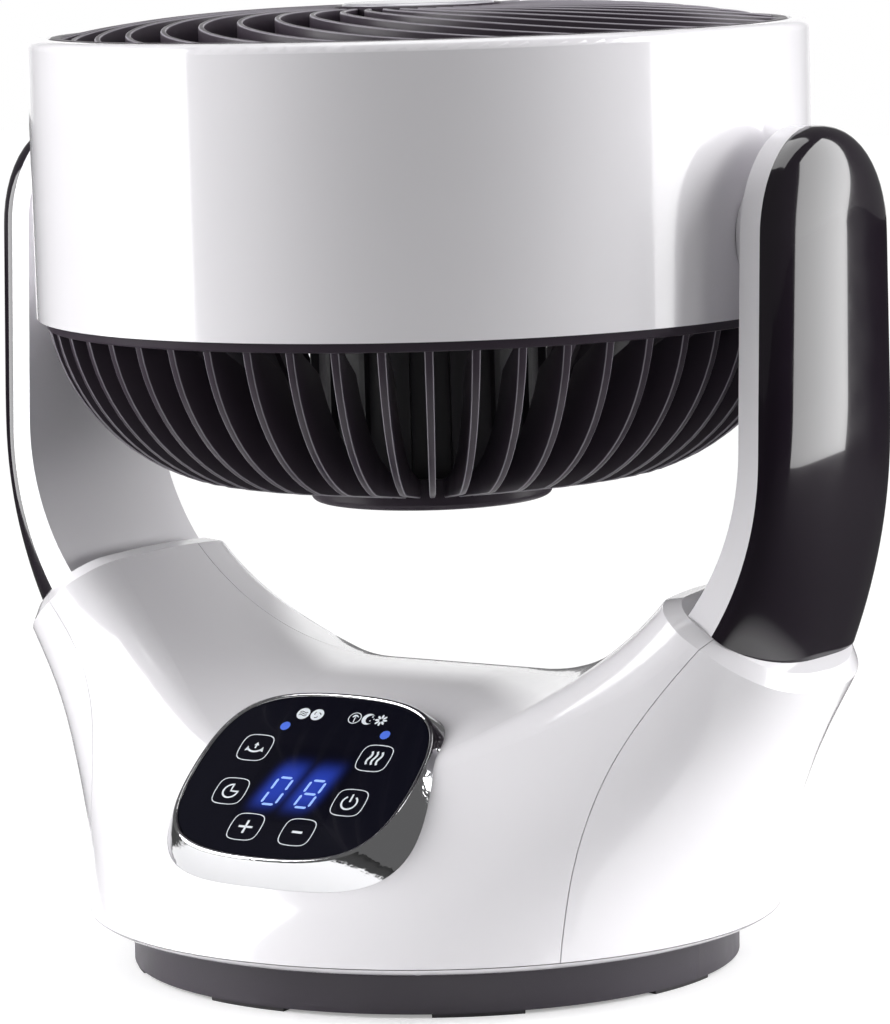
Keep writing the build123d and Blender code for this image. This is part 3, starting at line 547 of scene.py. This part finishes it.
def vane():
    """One curved vane of the front grille, its front edge rounded over."""
    def polar(radius, degrees):
        return radius * math.cos(math.radians(degrees)), radius * math.sin(math.radians(degrees))

    line = arc_through(polar(HUB_RADIUS - 1.5, 0), polar(VANE_MIDDLE, VANE_MIDDLE_TURN),
                       polar(RING_INSIDE + 1.0, VANE_SWEEP), 26)
    half = VANE_THICK / 2
    left = [(-half, -VANE_DEPTH)] + [(aside - half, -down) for aside, down in VANE_EDGE]
    section = left + [(-side, up) for side, up in reversed(left)]
    loops = []
    for index, (x, y) in enumerate(line):
        (ax, ay), (bx, by) = line[max(index - 1, 0)], line[min(index + 1, len(line) - 1)]
        size = math.hypot(bx - ax, by - ay)
        across = Vector(((ay - by) / size, (bx - ax) / size, 0))
        middle = Vector((x, y, grille_height(math.hypot(x, y))))
        loops.append([(middle + across * side + Vector((0, 0, up))) * MM for side, up in section])
    corners, faces = skin(loops, capped=True)
    # the two corners of the vane's rounded front edge carry a painted highlight
    return mark_painted_highlights(shaped("vane", corners, faces, GRILLE, crease=50), len(section), (2, 5))


def make_front():
    """Front grille: thirty swept vanes between the hub and the ring."""
    vanes = around("vanes", vane(), VANE_COUNT, VANE_START, GRILLE)
    outside, edge = RING_INSIDE + RING_WALL, DRUM_FRONT + 0.1
    low = DRUM_FRONT - RING_DEPTH
    flange, flange_edge = low + RING_FLANGE_THICK, outside + RING_FLANGE_WIDE
    ring = turned("ring", [(RING_INSIDE, low), (RING_INSIDE, edge - 0.5), (RING_INSIDE + 0.5, edge),
                           (outside - 0.5, edge), (outside, edge - 0.5), (outside, flange),
                           (flange_edge, flange), (flange_edge, low)], GRILLE)
    top, seat = grille_height(HUB_RADIUS) + 0.5, HUB_RADIUS - HUB_RIM
    hub = turned("hub", [(ON_AXIS, top - VANE_DEPTH), (HUB_RADIUS, top - VANE_DEPTH), (HUB_RADIUS, top - 0.6),
                         (HUB_RADIUS - 0.6, top), (seat + 0.5, top), (seat, top - 0.5),
                         (seat, top - BADGE_SEAT), (ON_AXIS, top - BADGE_SEAT)], GRILLE, 96)
    front = joined("front_vane_grille", [vanes, ring, hub])
    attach(front, "head")
    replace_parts(front, "front_grille")


make_bowl()
make_front()


# ---------------------------------------------------------------- arms

def bent_x(bend, z):
    """How far out a bent face of an arm stands at a height."""
    x, start, radius, degrees = bend
    drop = start - z
    turn = math.radians(degrees)
    if drop <= 0:
        return x
    if drop < radius * math.sin(turn):
        return x - radius + math.sqrt(radius * radius - drop * drop)
    return x - radius + radius * math.cos(turn) - (drop - radius * math.sin(turn)) * math.tan(turn)


def arm_half_width(z):
    """Half the width of an arm under the pivot: its sides are tangents of the round top."""
    drop = PIVOT_Z - ARM_ROOT_Z
    reach = math.hypot(ARM_ROOT_HALF_WIDTH, drop)
    angle = math.atan2(-drop, ARM_ROOT_HALF_WIDTH) + math.acos(ARM_HALF_WIDTH / reach)
    touch_y, touch_z = ARM_HALF_WIDTH * math.cos(angle), PIVOT_Z + ARM_HALF_WIDTH * math.sin(angle)
    if z >= touch_z:
        return math.sqrt(max(0.0, ARM_HALF_WIDTH ** 2 - (z - PIVOT_Z) ** 2))
    return touch_y + (ARM_ROOT_HALF_WIDTH - touch_y) * (touch_z - z) / (touch_z - ARM_ROOT_Z)


def cover_x(z, share, rear):
    """How far out the cover stands; share is 0 on its middle line and 1 at its edge, rear 0 to 1."""
    inside, outside = bent_x(JOINT_BEND, z), bent_x(OUTER_BEND, z) + COVER_CROWN
    squareness = COVER_FRONT + (COVER_REAR - COVER_FRONT) * rear
    return inside + (outside - inside) * (1 - share ** squareness) ** (1 / squareness)


def shoulder_height(share, rear):
    """How high the cover starts: closes in on where it meets the sloping shoulder of the housing."""
    slope = math.tan(math.radians(SHOULDER_SLOPE))
    z = SHOULDER_Z
    for _ in range(SHOULDER_ROUNDS):
        z = (z + SHOULDER_Z - slope * (cover_x(z, share, rear) - SHOULDER_X)) / 2
    return z + SHOULDER_GAP


def make_cover(side, name):
    """Dark outer half of an arm: crowned across and over its round top, cut along the shoulder."""
    steps = range(COVER_ACROSS, -1, -1)
    shares = [math.sin(math.pi / 2 * step / COVER_ACROSS) ** COVER_CROWDING for step in steps]

    def side_row(rear, step, starts):
        """One line from the edge to the middle, on the front or the rear side of the arm."""
        row = []
        for share, start in zip(shares, starts):
            z = start + (PIVOT_Z - start) * step / COVER_UPRIGHTS
            row.append((cover_x(z, share, rear), (2 * rear - 1) * arm_half_width(z) * share, z))
        return row

    def top_row(step):
        """One line from the edge to the middle, over the round top."""
        angle = math.pi * step / COVER_TURNS
        rear = (1 - math.cos(angle)) / 2
        row = []
        for share in shares:
            z = PIVOT_Z + ARM_HALF_WIDTH * share * math.sin(angle)
            row.append((cover_x(z, share, rear), -ARM_HALF_WIDTH * share * math.cos(angle), z))
        return row

    front_starts, rear_starts = [[shoulder_height(share, rear) for share in shares] for rear in (0, 1)]
    loops = [side_row(0, step, front_starts) for step in range(COVER_UPRIGHTS)]
    loops += [top_row(step) for step in range(COVER_TURNS + 1)]
    loops += [side_row(1, step, rear_starts) for step in reversed(range(COVER_UPRIGHTS))]
    for loop in loops:
        spine_z = loop[-1][2]
        loop.append((bent_x(JOINT_BEND, spine_z), 0.0, spine_z))
    loops = [[Vector((side * x, y, z)) * MM for x, y, z in loop] for loop in loops]
    corners, faces = skin(loops, capped=True)
    inside_wall = len(shares) - 1
    faces = [face for index, face in enumerate(faces) if index % len(loops[0]) != inside_wall]
    cover = shaped(name, corners, faces, COVER, crease=50)
    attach(cover, "housing")
    return cover


def make_collar(side, name):
    """White sleeve over the axle's boss between the drum and an arm."""
    start, end, outside = DRUM_RADIUS - 0.8, ARM_INNER_X - 0.4, BOSS_RADIUS + 0.5
    outline = [(BOSS_RADIUS, start), (outside, start), (outside, end - 0.4), (BOSS_RADIUS + 0.1, end),
               (BOSS_RADIUS, end)]
    steps = 96
    loops = []
    for step in range(steps):
        angle = 2 * math.pi * step / steps
        loops.append([on_head((side * along_x, radius * math.cos(angle), radius * math.sin(angle)))
                      for radius, along_x in outline])
    corners, faces = skin(loops, closed_path=True)
    collar = shaped(name, corners, faces, WHITE)
    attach(collar, "head")


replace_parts(make_cover(1, "cover_right"), "arm_cover_right")
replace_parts(make_cover(-1, "cover_left"), "arm_cover_left")
make_collar(1, "pivot_collar_right")
make_collar(-1, "pivot_collar_left")


# ---------------------------------------------------------------- control panel

def rounded_square(half_width, half_height, squareness, steps=24):
    """Points of a soft-cornered outline in four quarter curves; a squareness of 2 is an ellipse."""
    pull = (8 * 2 ** (-1 / squareness) - 4) / 3
    points = []
    for sx, sy in ((1, 1), (-1, 1), (-1, -1), (1, -1)):
        ends = [(half_width, 0), (half_width, half_height * pull), (half_width * pull, half_height),
                (0, half_height)]
        if sx * sy < 0:
            ends.reverse()
        for step in range(steps):
            t = step / steps
            weights = (1 - t) ** 3, 3 * t * (1 - t) ** 2, 3 * t * t * (1 - t), t ** 3
            points.append((sx * sum(w * x for w, (x, _) in zip(weights, ends)),
                           sy * sum(w * y for w, (_, y) in zip(weights, ends))))
    return points


def make_bezel():
    """Plated surround: a wide slope, a rounded rim and a narrow step down to the glass."""
    half_w, half_h = GLASS_WIDTH / 2, GLASS_HEIGHT / 2
    rim, rim_wide = 0.8, 1.6
    seat, back = -2.6, -11.0
    # how far each line lies outside the glass, across and up, its squareness, and how far out it stands
    steps = [(rim_wide + 8.2, rim_wide + 5.0, 2.7, back), (rim_wide + 0.4, rim_wide + 0.25, 2.98, rim - 0.55),
             (1.55, 1.5, 3.0, rim - 0.2), (1.2, 1.2, 3.0, rim), (0.75, 0.75, 3.0, rim),
             (0.4, 0.4, 3.0, rim - 0.15), (0.15, 0.15, 3.0, rim - 0.55), (0.1, 0.1, 3.0, seat),
             (-2.5, -2.5, 3.0, seat), (-2.5, -2.5, 3.0, back)]
    loops = [[on_panel(u, v, out) for u, v in rounded_square(half_w + wide, half_h + tall, squareness)]
             for wide, tall, squareness, out in steps]
    corners, faces = skin(loops, closed_path=True)
    bezel = shaped("panel_surround", corners, faces, CHROME, crease=60)
    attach(bezel, "housing")
    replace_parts(bezel, "panel_bezel")


def stroke(points, width, closed=False):
    """The outline pieces of a drawn line: one four-sided patch for each leg, mitred."""
    count = len(points)
    sides = []
    for index, (x, y) in enumerate(points):
        before = points[index - 1] if closed or index else points[index]
        after = points[(index + 1) % count] if closed or index < count - 1 else points[index]
        dx, dy = after[0] - before[0], after[1] - before[1]
        size = math.hypot(dx, dy)
        sides.append(((x - dy / size * width / 2, y + dx / size * width / 2),
                      (x + dy / size * width / 2, y - dx / size * width / 2)))
    legs = range(count if closed else count - 1)
    patches = []
    for leg in legs:
        near, far = sides[leg], sides[(leg + 1) % count]
        patches.append((near[0], near[1], far[1], far[0]))
    return patches


def arc(radius, start, end, at=(0, 0), steps=24):
    """Points on a circle between two directions in degrees."""
    angles = [math.radians(start + (end - start) * step / steps) for step in range(steps + 1)]
    return [(at[0] + radius * math.cos(angle), at[1] + radius * math.sin(angle)) for angle in angles]


def spot(radius, at=(0, 0), steps=28):
    """One round patch."""
    return [tuple(arc(radius, 0, 360 - 360 / steps, at, steps - 1))]


def placed(patches, u, v):
    """The patches, moved across and up the panel."""
    return [tuple((x + u, y + v) for x, y in patch) for patch in patches]


def printed(name, patches, out, finish):
    """Flat print on the glass, out millimetres in front of the panel's plane."""
    corners, faces = [], []
    for patch in patches:
        faces.append(tuple(range(len(corners), len(corners) + len(patch))))
        corners += [on_panel(u, v, out) for u, v in patch]
    mesh = bpy.data.meshes.new(name)
    mesh.from_pydata([tuple(corner) for corner in corners], [], faces)
    mesh.materials.append(finish)
    outward = on_panel(0, 0, 1) - on_panel(0, 0, 0)
    mesh.update()
    turned_over = [polygon.index for polygon in mesh.polygons if polygon.normal.dot(outward) < 0]
    work = bmesh.new()
    work.from_mesh(mesh)
    work.faces.ensure_lookup_table()
    bmesh.ops.reverse_faces(work, faces=[work.faces[index] for index in turned_over])
    work.to_mesh(mesh)
    work.free()
    piece = in_scene(name, mesh)
    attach(piece, "housing")


def swing_icon():
    """A bowed line with an arrow's tip at each end and one in the middle."""
    curve = arc(3.6, 215, 325, (0, 1.9))
    tips = [((-3.5, -1.6), (-2.9, 0.5), (-1.9, -1.1)), ((3.5, -1.6), (2.9, 0.5), (1.9, -1.1)),
            ((-0.9, 0.9), (0.0, 2.3), (0.9, 0.9))]
    return stroke(curve, 0.7) + tips + stroke([(0, -0.3), (0, 1.2)], 0.6)


def timer_icon():
    """An open clock face with its two hands."""
    return stroke(arc(2.7, 85, 355), 0.65) + stroke([(0, 3.0), (0, 0), (3.0, 0)], 0.65)


def plus_icon():
    """Two crossed bars."""
    return stroke([(-2.6, 0), (2.6, 0)], 0.8) + stroke([(0, -2.6), (0, 2.6)], 0.8)


def minus_icon():
    """One bar."""
    return stroke([(-1.9, 0), (1.9, 0)], 0.9)


def power_icon():
    """An open ring with a bar in its gap."""
    return stroke(arc(2.7, 125, 415), 0.65) + stroke([(0, 0.3), (0, 3.4)], 0.65)


def wave(length, swing, legs):
    """Points of one full wave along a line, as (along, aside)."""
    shares = [step / legs for step in range(legs + 1)]
    return [(length * (share - 0.5), swing * math.sin(share * 2 * math.pi)) for share in shares]


def waves_icon():
    """Three upright waves."""
    lines = []
    for middle in (-1.9, 0, 1.9):
        lines += stroke([(middle + aside, -along_v) for along_v, aside in wave(5.4, 0.45, 16)], 0.75)
    return lines


KEYS = ((-23.2, 9.7, swing_icon), (-22.9, -8.7, timer_icon), (-10.0, -22.2, plus_icon),
        (9.5, -22.3, minus_icon), (21.9, -8.7, power_icon), (21.9, 9.8, waves_icon))
KEY_HALF_WIDTH, KEY_HALF_HEIGHT, KEY_SQUARENESS, KEY_LINE = 5.7, 5.4, 3.6, 0.32
LAMP_SPOTS = ((-16.9, 19.6), (21.0, 19.5))
LAMP_RADIUS = 1.75
ICON_ROW = 25.3          # how far up the panel the small icons stand, and where each is across it
GUST_U, WHIRL_U, PALM_U, MOON_U, FLOWER_U = -12.9, -7.6, 6.7, 11.8, 16.6
DISC_RADIUS = 2.35


def palm():
    """A ringed palm tree."""
    ring, trunk = stroke(arc(2.2, 0, 345), 0.3, closed=True), stroke([(0.2, -1.8), (0, 0.6)], 0.35)
    leaves = stroke(arc(0.9, 20, 170, (0, 0.3), 10), 0.4) + stroke(arc(1.3, 40, 150, (0.2, -0.4), 10), 0.35)
    return ring + trunk + leaves


def moon():
    """A crescent with three stars."""
    outer, inner = arc(2.3, 60, 300), arc(1.75, 50, 310, (0.9, 0))
    shapes = [(outer[step], outer[step + 1], inner[step + 1], inner[step]) for step in range(len(outer) - 1)]
    for radius, u, v in ((0.32, 1.2, 1.1), (0.28, 0.9, -0.6), (0.26, 2.0, 0.2)):
        shapes += placed(spot(radius, steps=8), u, v)
    return shapes


def flower():
    """Eight long petals round an open middle."""
    angles = [math.pi * step / 6 for step in range(12)]
    petal = [(1.45 + 0.85 * math.cos(angle), 0.42 * math.sin(angle)) for angle in angles]
    petals = []
    for turn in range(8):
        across, up = math.cos(math.radians(45 * turn)), math.sin(math.radians(45 * turn))
        petals.append(tuple((x * across - y * up, x * up + y * across) for x, y in petal))
    return petals


def small_icons():
    """The row over the display: two filled discs, a palm, a moon and a flower."""
    row = [(GUST_U, spot(DISC_RADIUS)), (WHIRL_U, spot(DISC_RADIUS)), (PALM_U, palm()), (MOON_U, moon()),
           (FLOWER_U, flower())]
    return [patch for u, icon in row for patch in placed(icon, u, ICON_ROW)]


def disc_marks():
    """Dark strokes on the two filled discs of the row."""
    gust, whirl = [], []
    for level in (-0.7, 0, 0.7):
        gust += stroke([(along_u, level + aside) for along_u, aside in wave(3, 0.22, 8)], 0.28)
    for turn in (0, 120, 240):
        middle = 0.5 * math.cos(math.radians(turn)), 0.5 * math.sin(math.radians(turn))
        whirl += stroke(arc(0.8, turn, turn + 100, middle, 10), 0.3)
    return placed(gust, GUST_U, ICON_ROW) + placed(whirl, WHIRL_U, ICON_ROW)


DIGIT_WIDTH, DIGIT_HEIGHT = 5.4, 11.2
SEGMENT, SEGMENT_GAP = 0.9, 0.55
DIGIT_LEAN = 0.14        # sideways shift for each millimetre of height
DIGITS = ((-9.6, -12.5, "abcdef"), (2.8, -12.5, "abcdefg"))
# The two ends of each bar: 0 left or 1 right, and 0 for the foot, 1 half way up, 2 the top
BAR_ENDS = {"a": ((0, 2), (1, 2)), "b": ((1, 2), (1, 1)), "c": ((1, 1), (1, 0)), "d": ((0, 0), (1, 0)),
            "e": ((0, 1), (0, 0)), "f": ((0, 2), (0, 1)), "g": ((0, 1), (1, 1))}


def segments(left, low, shown):
    """Bars of one seven-segment digit that leans to the right."""
    bars = []
    for letter in shown:
        ends = [(column * DIGIT_WIDTH, level * DIGIT_HEIGHT / 2) for column, level in BAR_ENDS[letter]]
        (ax, ay), (bx, by) = ends
        size = math.hypot(bx - ax, by - ay)
        ux, uy = (bx - ax) / size, (by - ay) / size
        half, point = SEGMENT / 2, SEGMENT_GAP
        outline = [(point, 0), (point + half, half), (size - point - half, half), (size - point, 0),
                   (size - point - half, -half), (point + half, -half)]
        bar = []
        for s, t in outline:
            x, y = ax + ux * s - uy * t, ay + uy * s + ux * t
            bar.append((left + x + DIGIT_LEAN * y, low + y))
        bars.append(tuple(bar))
    return bars


# How far out of the panel's plane each layer of light and print lies
GLOW_OUT = GLASS_FACE + 0.02
OUTLINE_OUT = GLASS_FACE + 0.03
ICON_OUT = GLASS_FACE + 0.04
LAMP_OUT = GLASS_FACE + 0.05                            # the digits too
MARK_OUT = GLASS_FACE + 0.06
GLOW_ACROSS, GLOW_UP = (-17.0, 17.0), (-19.0, 12.0)
GLOW_COLUMNS, GLOW_ROWS = 60, 50
GLOW_MIDDLES = (-6.2, 6.2)                              # one for each digit
GLOW_HALF_WIDTH, GLOW_HALF_HEIGHT = 5.2, 9.0
GLOW_HEIGHT = -4.4                                      # how far up the panel its middle is
GLOW_LEAN, GLOW_LEAN_FROM = 0.22, -4.0


def glow_at(u, v):
    """How bright the light behind the digits is at a place on the glass."""
    bright = 0.0
    for middle in GLOW_MIDDLES:
        across = (u - middle - GLOW_LEAN * (v - GLOW_LEAN_FROM)) / GLOW_HALF_WIDTH
        upright = (v - GLOW_HEIGHT) / GLOW_HALF_HEIGHT
        bright = max(bright, math.exp(-(abs(across) ** 3.2 + abs(upright) ** 4)))
    return bright


def glow_patch():
    """The blue light round the digits: a fine grid whose corners carry how bright it is."""
    corners, faces, light = [], [], []
    wide = GLOW_COLUMNS + 1
    for row in range(GLOW_ROWS + 1):
        for column in range(wide):
            u = GLOW_ACROSS[0] + (GLOW_ACROSS[1] - GLOW_ACROSS[0]) * column / GLOW_COLUMNS
            v = GLOW_UP[0] + (GLOW_UP[1] - GLOW_UP[0]) * row / GLOW_ROWS
            corners.append(tuple(on_panel(u, v, GLOW_OUT)))
            light.append(glow_at(u, v))
            if row < GLOW_ROWS and column < GLOW_COLUMNS:
                start = row * wide + column
                faces.append((start, start + 1, start + wide + 1, start + wide))
    mesh = bpy.data.meshes.new("display_glow")
    mesh.from_pydata(corners, [], faces)
    marks = mesh.attributes.new("light", "FLOAT", "POINT")
    marks.data.foreach_set("value", light)
    mesh.materials.append(DISPLAY)
    piece = in_scene("display_glow", mesh)
    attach(piece, "housing")


def make_panel():
    """The surround, the lit display and all that is printed on the glass."""
    make_bezel()
    glow_patch()
    frame_of_key = rounded_square(KEY_HALF_WIDTH, KEY_HALF_HEIGHT, KEY_SQUARENESS, 10)
    outlines, icons = [], []
    for u, v, icon in KEYS:
        outlines += placed(stroke(frame_of_key, KEY_LINE, closed=True), u, v)
        icons += placed(icon(), u, v)
    printed("key_outlines", outlines, OUTLINE_OUT, PRINT)
    printed("key_icons", icons + small_icons(), ICON_OUT, PRINT)
    printed("icon_marks", disc_marks(), MARK_OUT, GLASS)
    lamps = [patch for u, v in LAMP_SPOTS for patch in placed(spot(LAMP_RADIUS), u, v)]
    printed("status_lamps", lamps, LAMP_OUT, LAMP_BLUE)
    bars = [bar for left, low, shown in DIGITS for bar in segments(left, low, shown)]
    printed("display_digits", bars, LAMP_OUT, DIGIT_BLUE)


make_panel()


# ---------------------------------------------------------------- camera, light and floor

CAMERA_STAND = 33.2      # degrees from the panel's direction, round to the right, where the camera stands
CAMERA_TURN = 33.01      # degrees that it is turned itself, then its nod down and its roll
CAMERA_NOD = 6.76
CAMERA_ROLL = -1.0
CAMERA_DISTANCE = 1.5
CAMERA_HEIGHT = 0.322
FOCAL_PIXELS = 4674      # focal length in pixels of the picture
PICTURE_HEIGHT = 1024
SENSOR = 36              # millimetres
# Names, degrees from the camera's direction, widths and brightnesses
SIDE_SOFTBOXES = (("left_softbox", -85.5, 0.70, 4.4), ("right_softbox", 87.6, 0.82, 4.0))
SIDE_DISTANCE, SIDE_HEIGHT, SIDE_TALL = 1.0, 0.58, 1.14
TOP_PLACE, TOP_SIZE, TOP_BRIGHTNESS = (0.0, 0.1, 1.6), 1.1, 2.1
# Names, degrees from the camera's direction, distances, heights, sizes and brightnesses
FILLS = (("left_fill", -85, 2.0, 0.6, 1.2, 4.4), ("right_fill", 85, 2.0, 0.6, 1.2, 4.4),
         ("front_left_fill", -50, 1.4, 0.3, 0.6, 1.4), ("front_right_fill", 50, 1.4, 0.3, 0.6, 1.7))
LIT_PLACE = (0, 0, 0.2)  # what the lamp above and the fills are aimed at
ROOM_LIGHT = 0.3         # what the room adds to matt surfaces
ROOM_SHINE = 0.12        # how bright the room looks in a glossy one
BACKDROP_FADE = (-0.97, -0.9)                           # cosines of the directions where the backdrop ends
TABLE_EDGE = 0.27        # the pale table top ends here; the ground round it is lit for the camera alone
TABLE_FADE = 0.04
TABLE_TONES = (0.9, 0.04)                               # colour of the table and of the ground
TABLE_GLOWS = (0.3, 1.0)                                # what each adds for the camera
GROUND_REACH = 6


def aim_camera():
    """Long lens from the right of the panel and a little above the head, nodded down and rolled a touch."""
    turn, nod, roll = (math.radians(angle) for angle in (CAMERA_TURN, CAMERA_NOD, CAMERA_ROLL))
    away = Vector((-math.sin(turn) * math.cos(nod), math.cos(turn) * math.cos(nod), -math.sin(nod)))
    right = away.cross(Vector((0, 0, 1))).normalized()
    up = right.cross(away)
    right, up = right * math.cos(roll) + up * math.sin(roll), up * math.cos(roll) - right * math.sin(roll)
    camera = in_scene("camera", bpy.data.cameras.new("camera"))
    facing = Matrix((right, up, -away)).transposed().to_4x4()
    camera.matrix_world = Matrix.Translation(around_object(0, CAMERA_DISTANCE, CAMERA_HEIGHT)) @ facing
    camera.data.sensor_fit = "AUTO"
    camera.data.sensor_width = SENSOR
    camera.data.lens = FOCAL_PIXELS / PICTURE_HEIGHT * SENSOR
    camera.data.clip_start = 0.05
    bpy.context.scene.camera = camera


def around_object(degrees, distance, height):
    """A place beside the object: degrees to the right of the camera as it looks at the object."""
    turn = math.radians(CAMERA_STAND + degrees)
    return distance * math.sin(turn), -distance * math.cos(turn), height


def softbox(name, place, target, width, height, brightness):
    """A rectangular lamp whose face has an even brightness, whatever its size."""
    lamp = bpy.data.lights.new(name, "AREA")
    lamp.shape = "RECTANGLE"
    lamp.size, lamp.size_y = width, height
    lamp.energy = brightness * math.pi * width * height
    holder = in_scene(name, lamp)
    holder.location = place
    holder.rotation_euler = (Vector(target) - Vector(place)).to_track_quat("-Z", "Y").to_euler()
    holder.visible_camera = False
    return holder


def hang_lamps():
    """Two tall softboxes at the sides, one above, and fills that no glossy surface mirrors."""
    for name, degrees, width, brightness in SIDE_SOFTBOXES:
        place = around_object(degrees, SIDE_DISTANCE, SIDE_HEIGHT)
        softbox(name, place, (0, 0, SIDE_HEIGHT), width, SIDE_TALL, brightness)
    softbox("top_softbox", TOP_PLACE, LIT_PLACE, TOP_SIZE, TOP_SIZE, TOP_BRIGHTNESS)
    for name, degrees, distance, height, size, brightness in FILLS:
        fill = softbox(name, around_object(degrees, distance, height), LIT_PLACE, size, size, brightness)
        fill.visible_glossy = False


def light_room():
    """White to the camera; to the rest a dim room with a white backdrop behind the object."""
    world = bpy.data.worlds.new("studio")
    bpy.context.scene.world = world
    world.use_nodes = True
    tree = world.node_tree
    new, link = tree.nodes.new, tree.links.new
    back, ray = tree.nodes["Background"], new("ShaderNodeLightPath")
    back.inputs["Color"].default_value = (1, 1, 1, 1)
    place, side = new("ShaderNodeTexCoord"), new("ShaderNodeVectorMath")
    side.operation = "DOT_PRODUCT"
    side.inputs[1].default_value = around_object(0, 1, 0)
    link(place.outputs["Generated"], side.inputs[0])
    backdrop = ranged(tree, side.outputs["Value"], BACKDROP_FADE, (1.0, ROOM_SHINE))
    mirrored = new("ShaderNodeMath")
    mirrored.operation = "MAXIMUM"
    link(ray.outputs["Is Glossy Ray"], mirrored.inputs[0])
    link(ray.outputs["Is Transmission Ray"], mirrored.inputs[1])
    indirect, seen = new("ShaderNodeMix"), new("ShaderNodeMix")
    indirect.inputs["A"].default_value = ROOM_LIGHT
    link(mirrored.outputs[0], indirect.inputs["Factor"])
    link(backdrop, indirect.inputs["B"])
    link(ray.outputs["Is Camera Ray"], seen.inputs["Factor"])
    link(indirect.outputs[0], seen.inputs["A"])
    seen.inputs["B"].default_value = 1.0
    link(seen.outputs[0], back.inputs["Strength"])


def lay_floor():
    """Pale table top under the object; round it the ground is dark, but white to the camera."""
    material, tree, main, where = shader("pale_floor")
    main.inputs["Roughness"].default_value = 0.8
    main.inputs["Specular IOR Level"].default_value = 0.1
    raised(tree, main, speckle(tree, where, 3, 2), 0.02)
    new, link = tree.nodes.new, tree.links.new
    glow, ray, both = new("ShaderNodeEmission"), new("ShaderNodeLightPath"), new("ShaderNodeAddShader")
    away, seen = new("ShaderNodeVectorMath"), new("ShaderNodeMath")
    away.operation, seen.operation = "LENGTH", "MULTIPLY"
    link(where, away.inputs[0])
    edge = TABLE_EDGE, TABLE_EDGE + TABLE_FADE
    link(ranged(tree, away.outputs["Value"], edge, TABLE_TONES), main.inputs["Base Color"])
    link(ranged(tree, away.outputs["Value"], edge, TABLE_GLOWS), seen.inputs[0])
    link(ray.outputs["Is Camera Ray"], seen.inputs[1])
    link(seen.outputs[0], glow.inputs["Strength"])
    link(main.outputs[0], both.inputs[0])
    link(glow.outputs[0], both.inputs[1])
    link(both.outputs[0], tree.nodes["Material Output"].inputs["Surface"])
    glow.inputs["Color"].default_value = (1, 1, 1, 1)
    reach = GROUND_REACH
    mesh = bpy.data.meshes.new("floor")
    mesh.from_pydata([(-reach, -reach, 0), (reach, -reach, 0), (reach, reach, 0), (-reach, reach, 0)], [],
                     [(0, 1, 2, 3)])
    mesh.materials.append(material)
    floor = in_scene("floor", mesh)


bpy.context.scene.view_settings.view_transform = "Standard"
aim_camera()
hang_lamps()
light_room()
lay_floor()
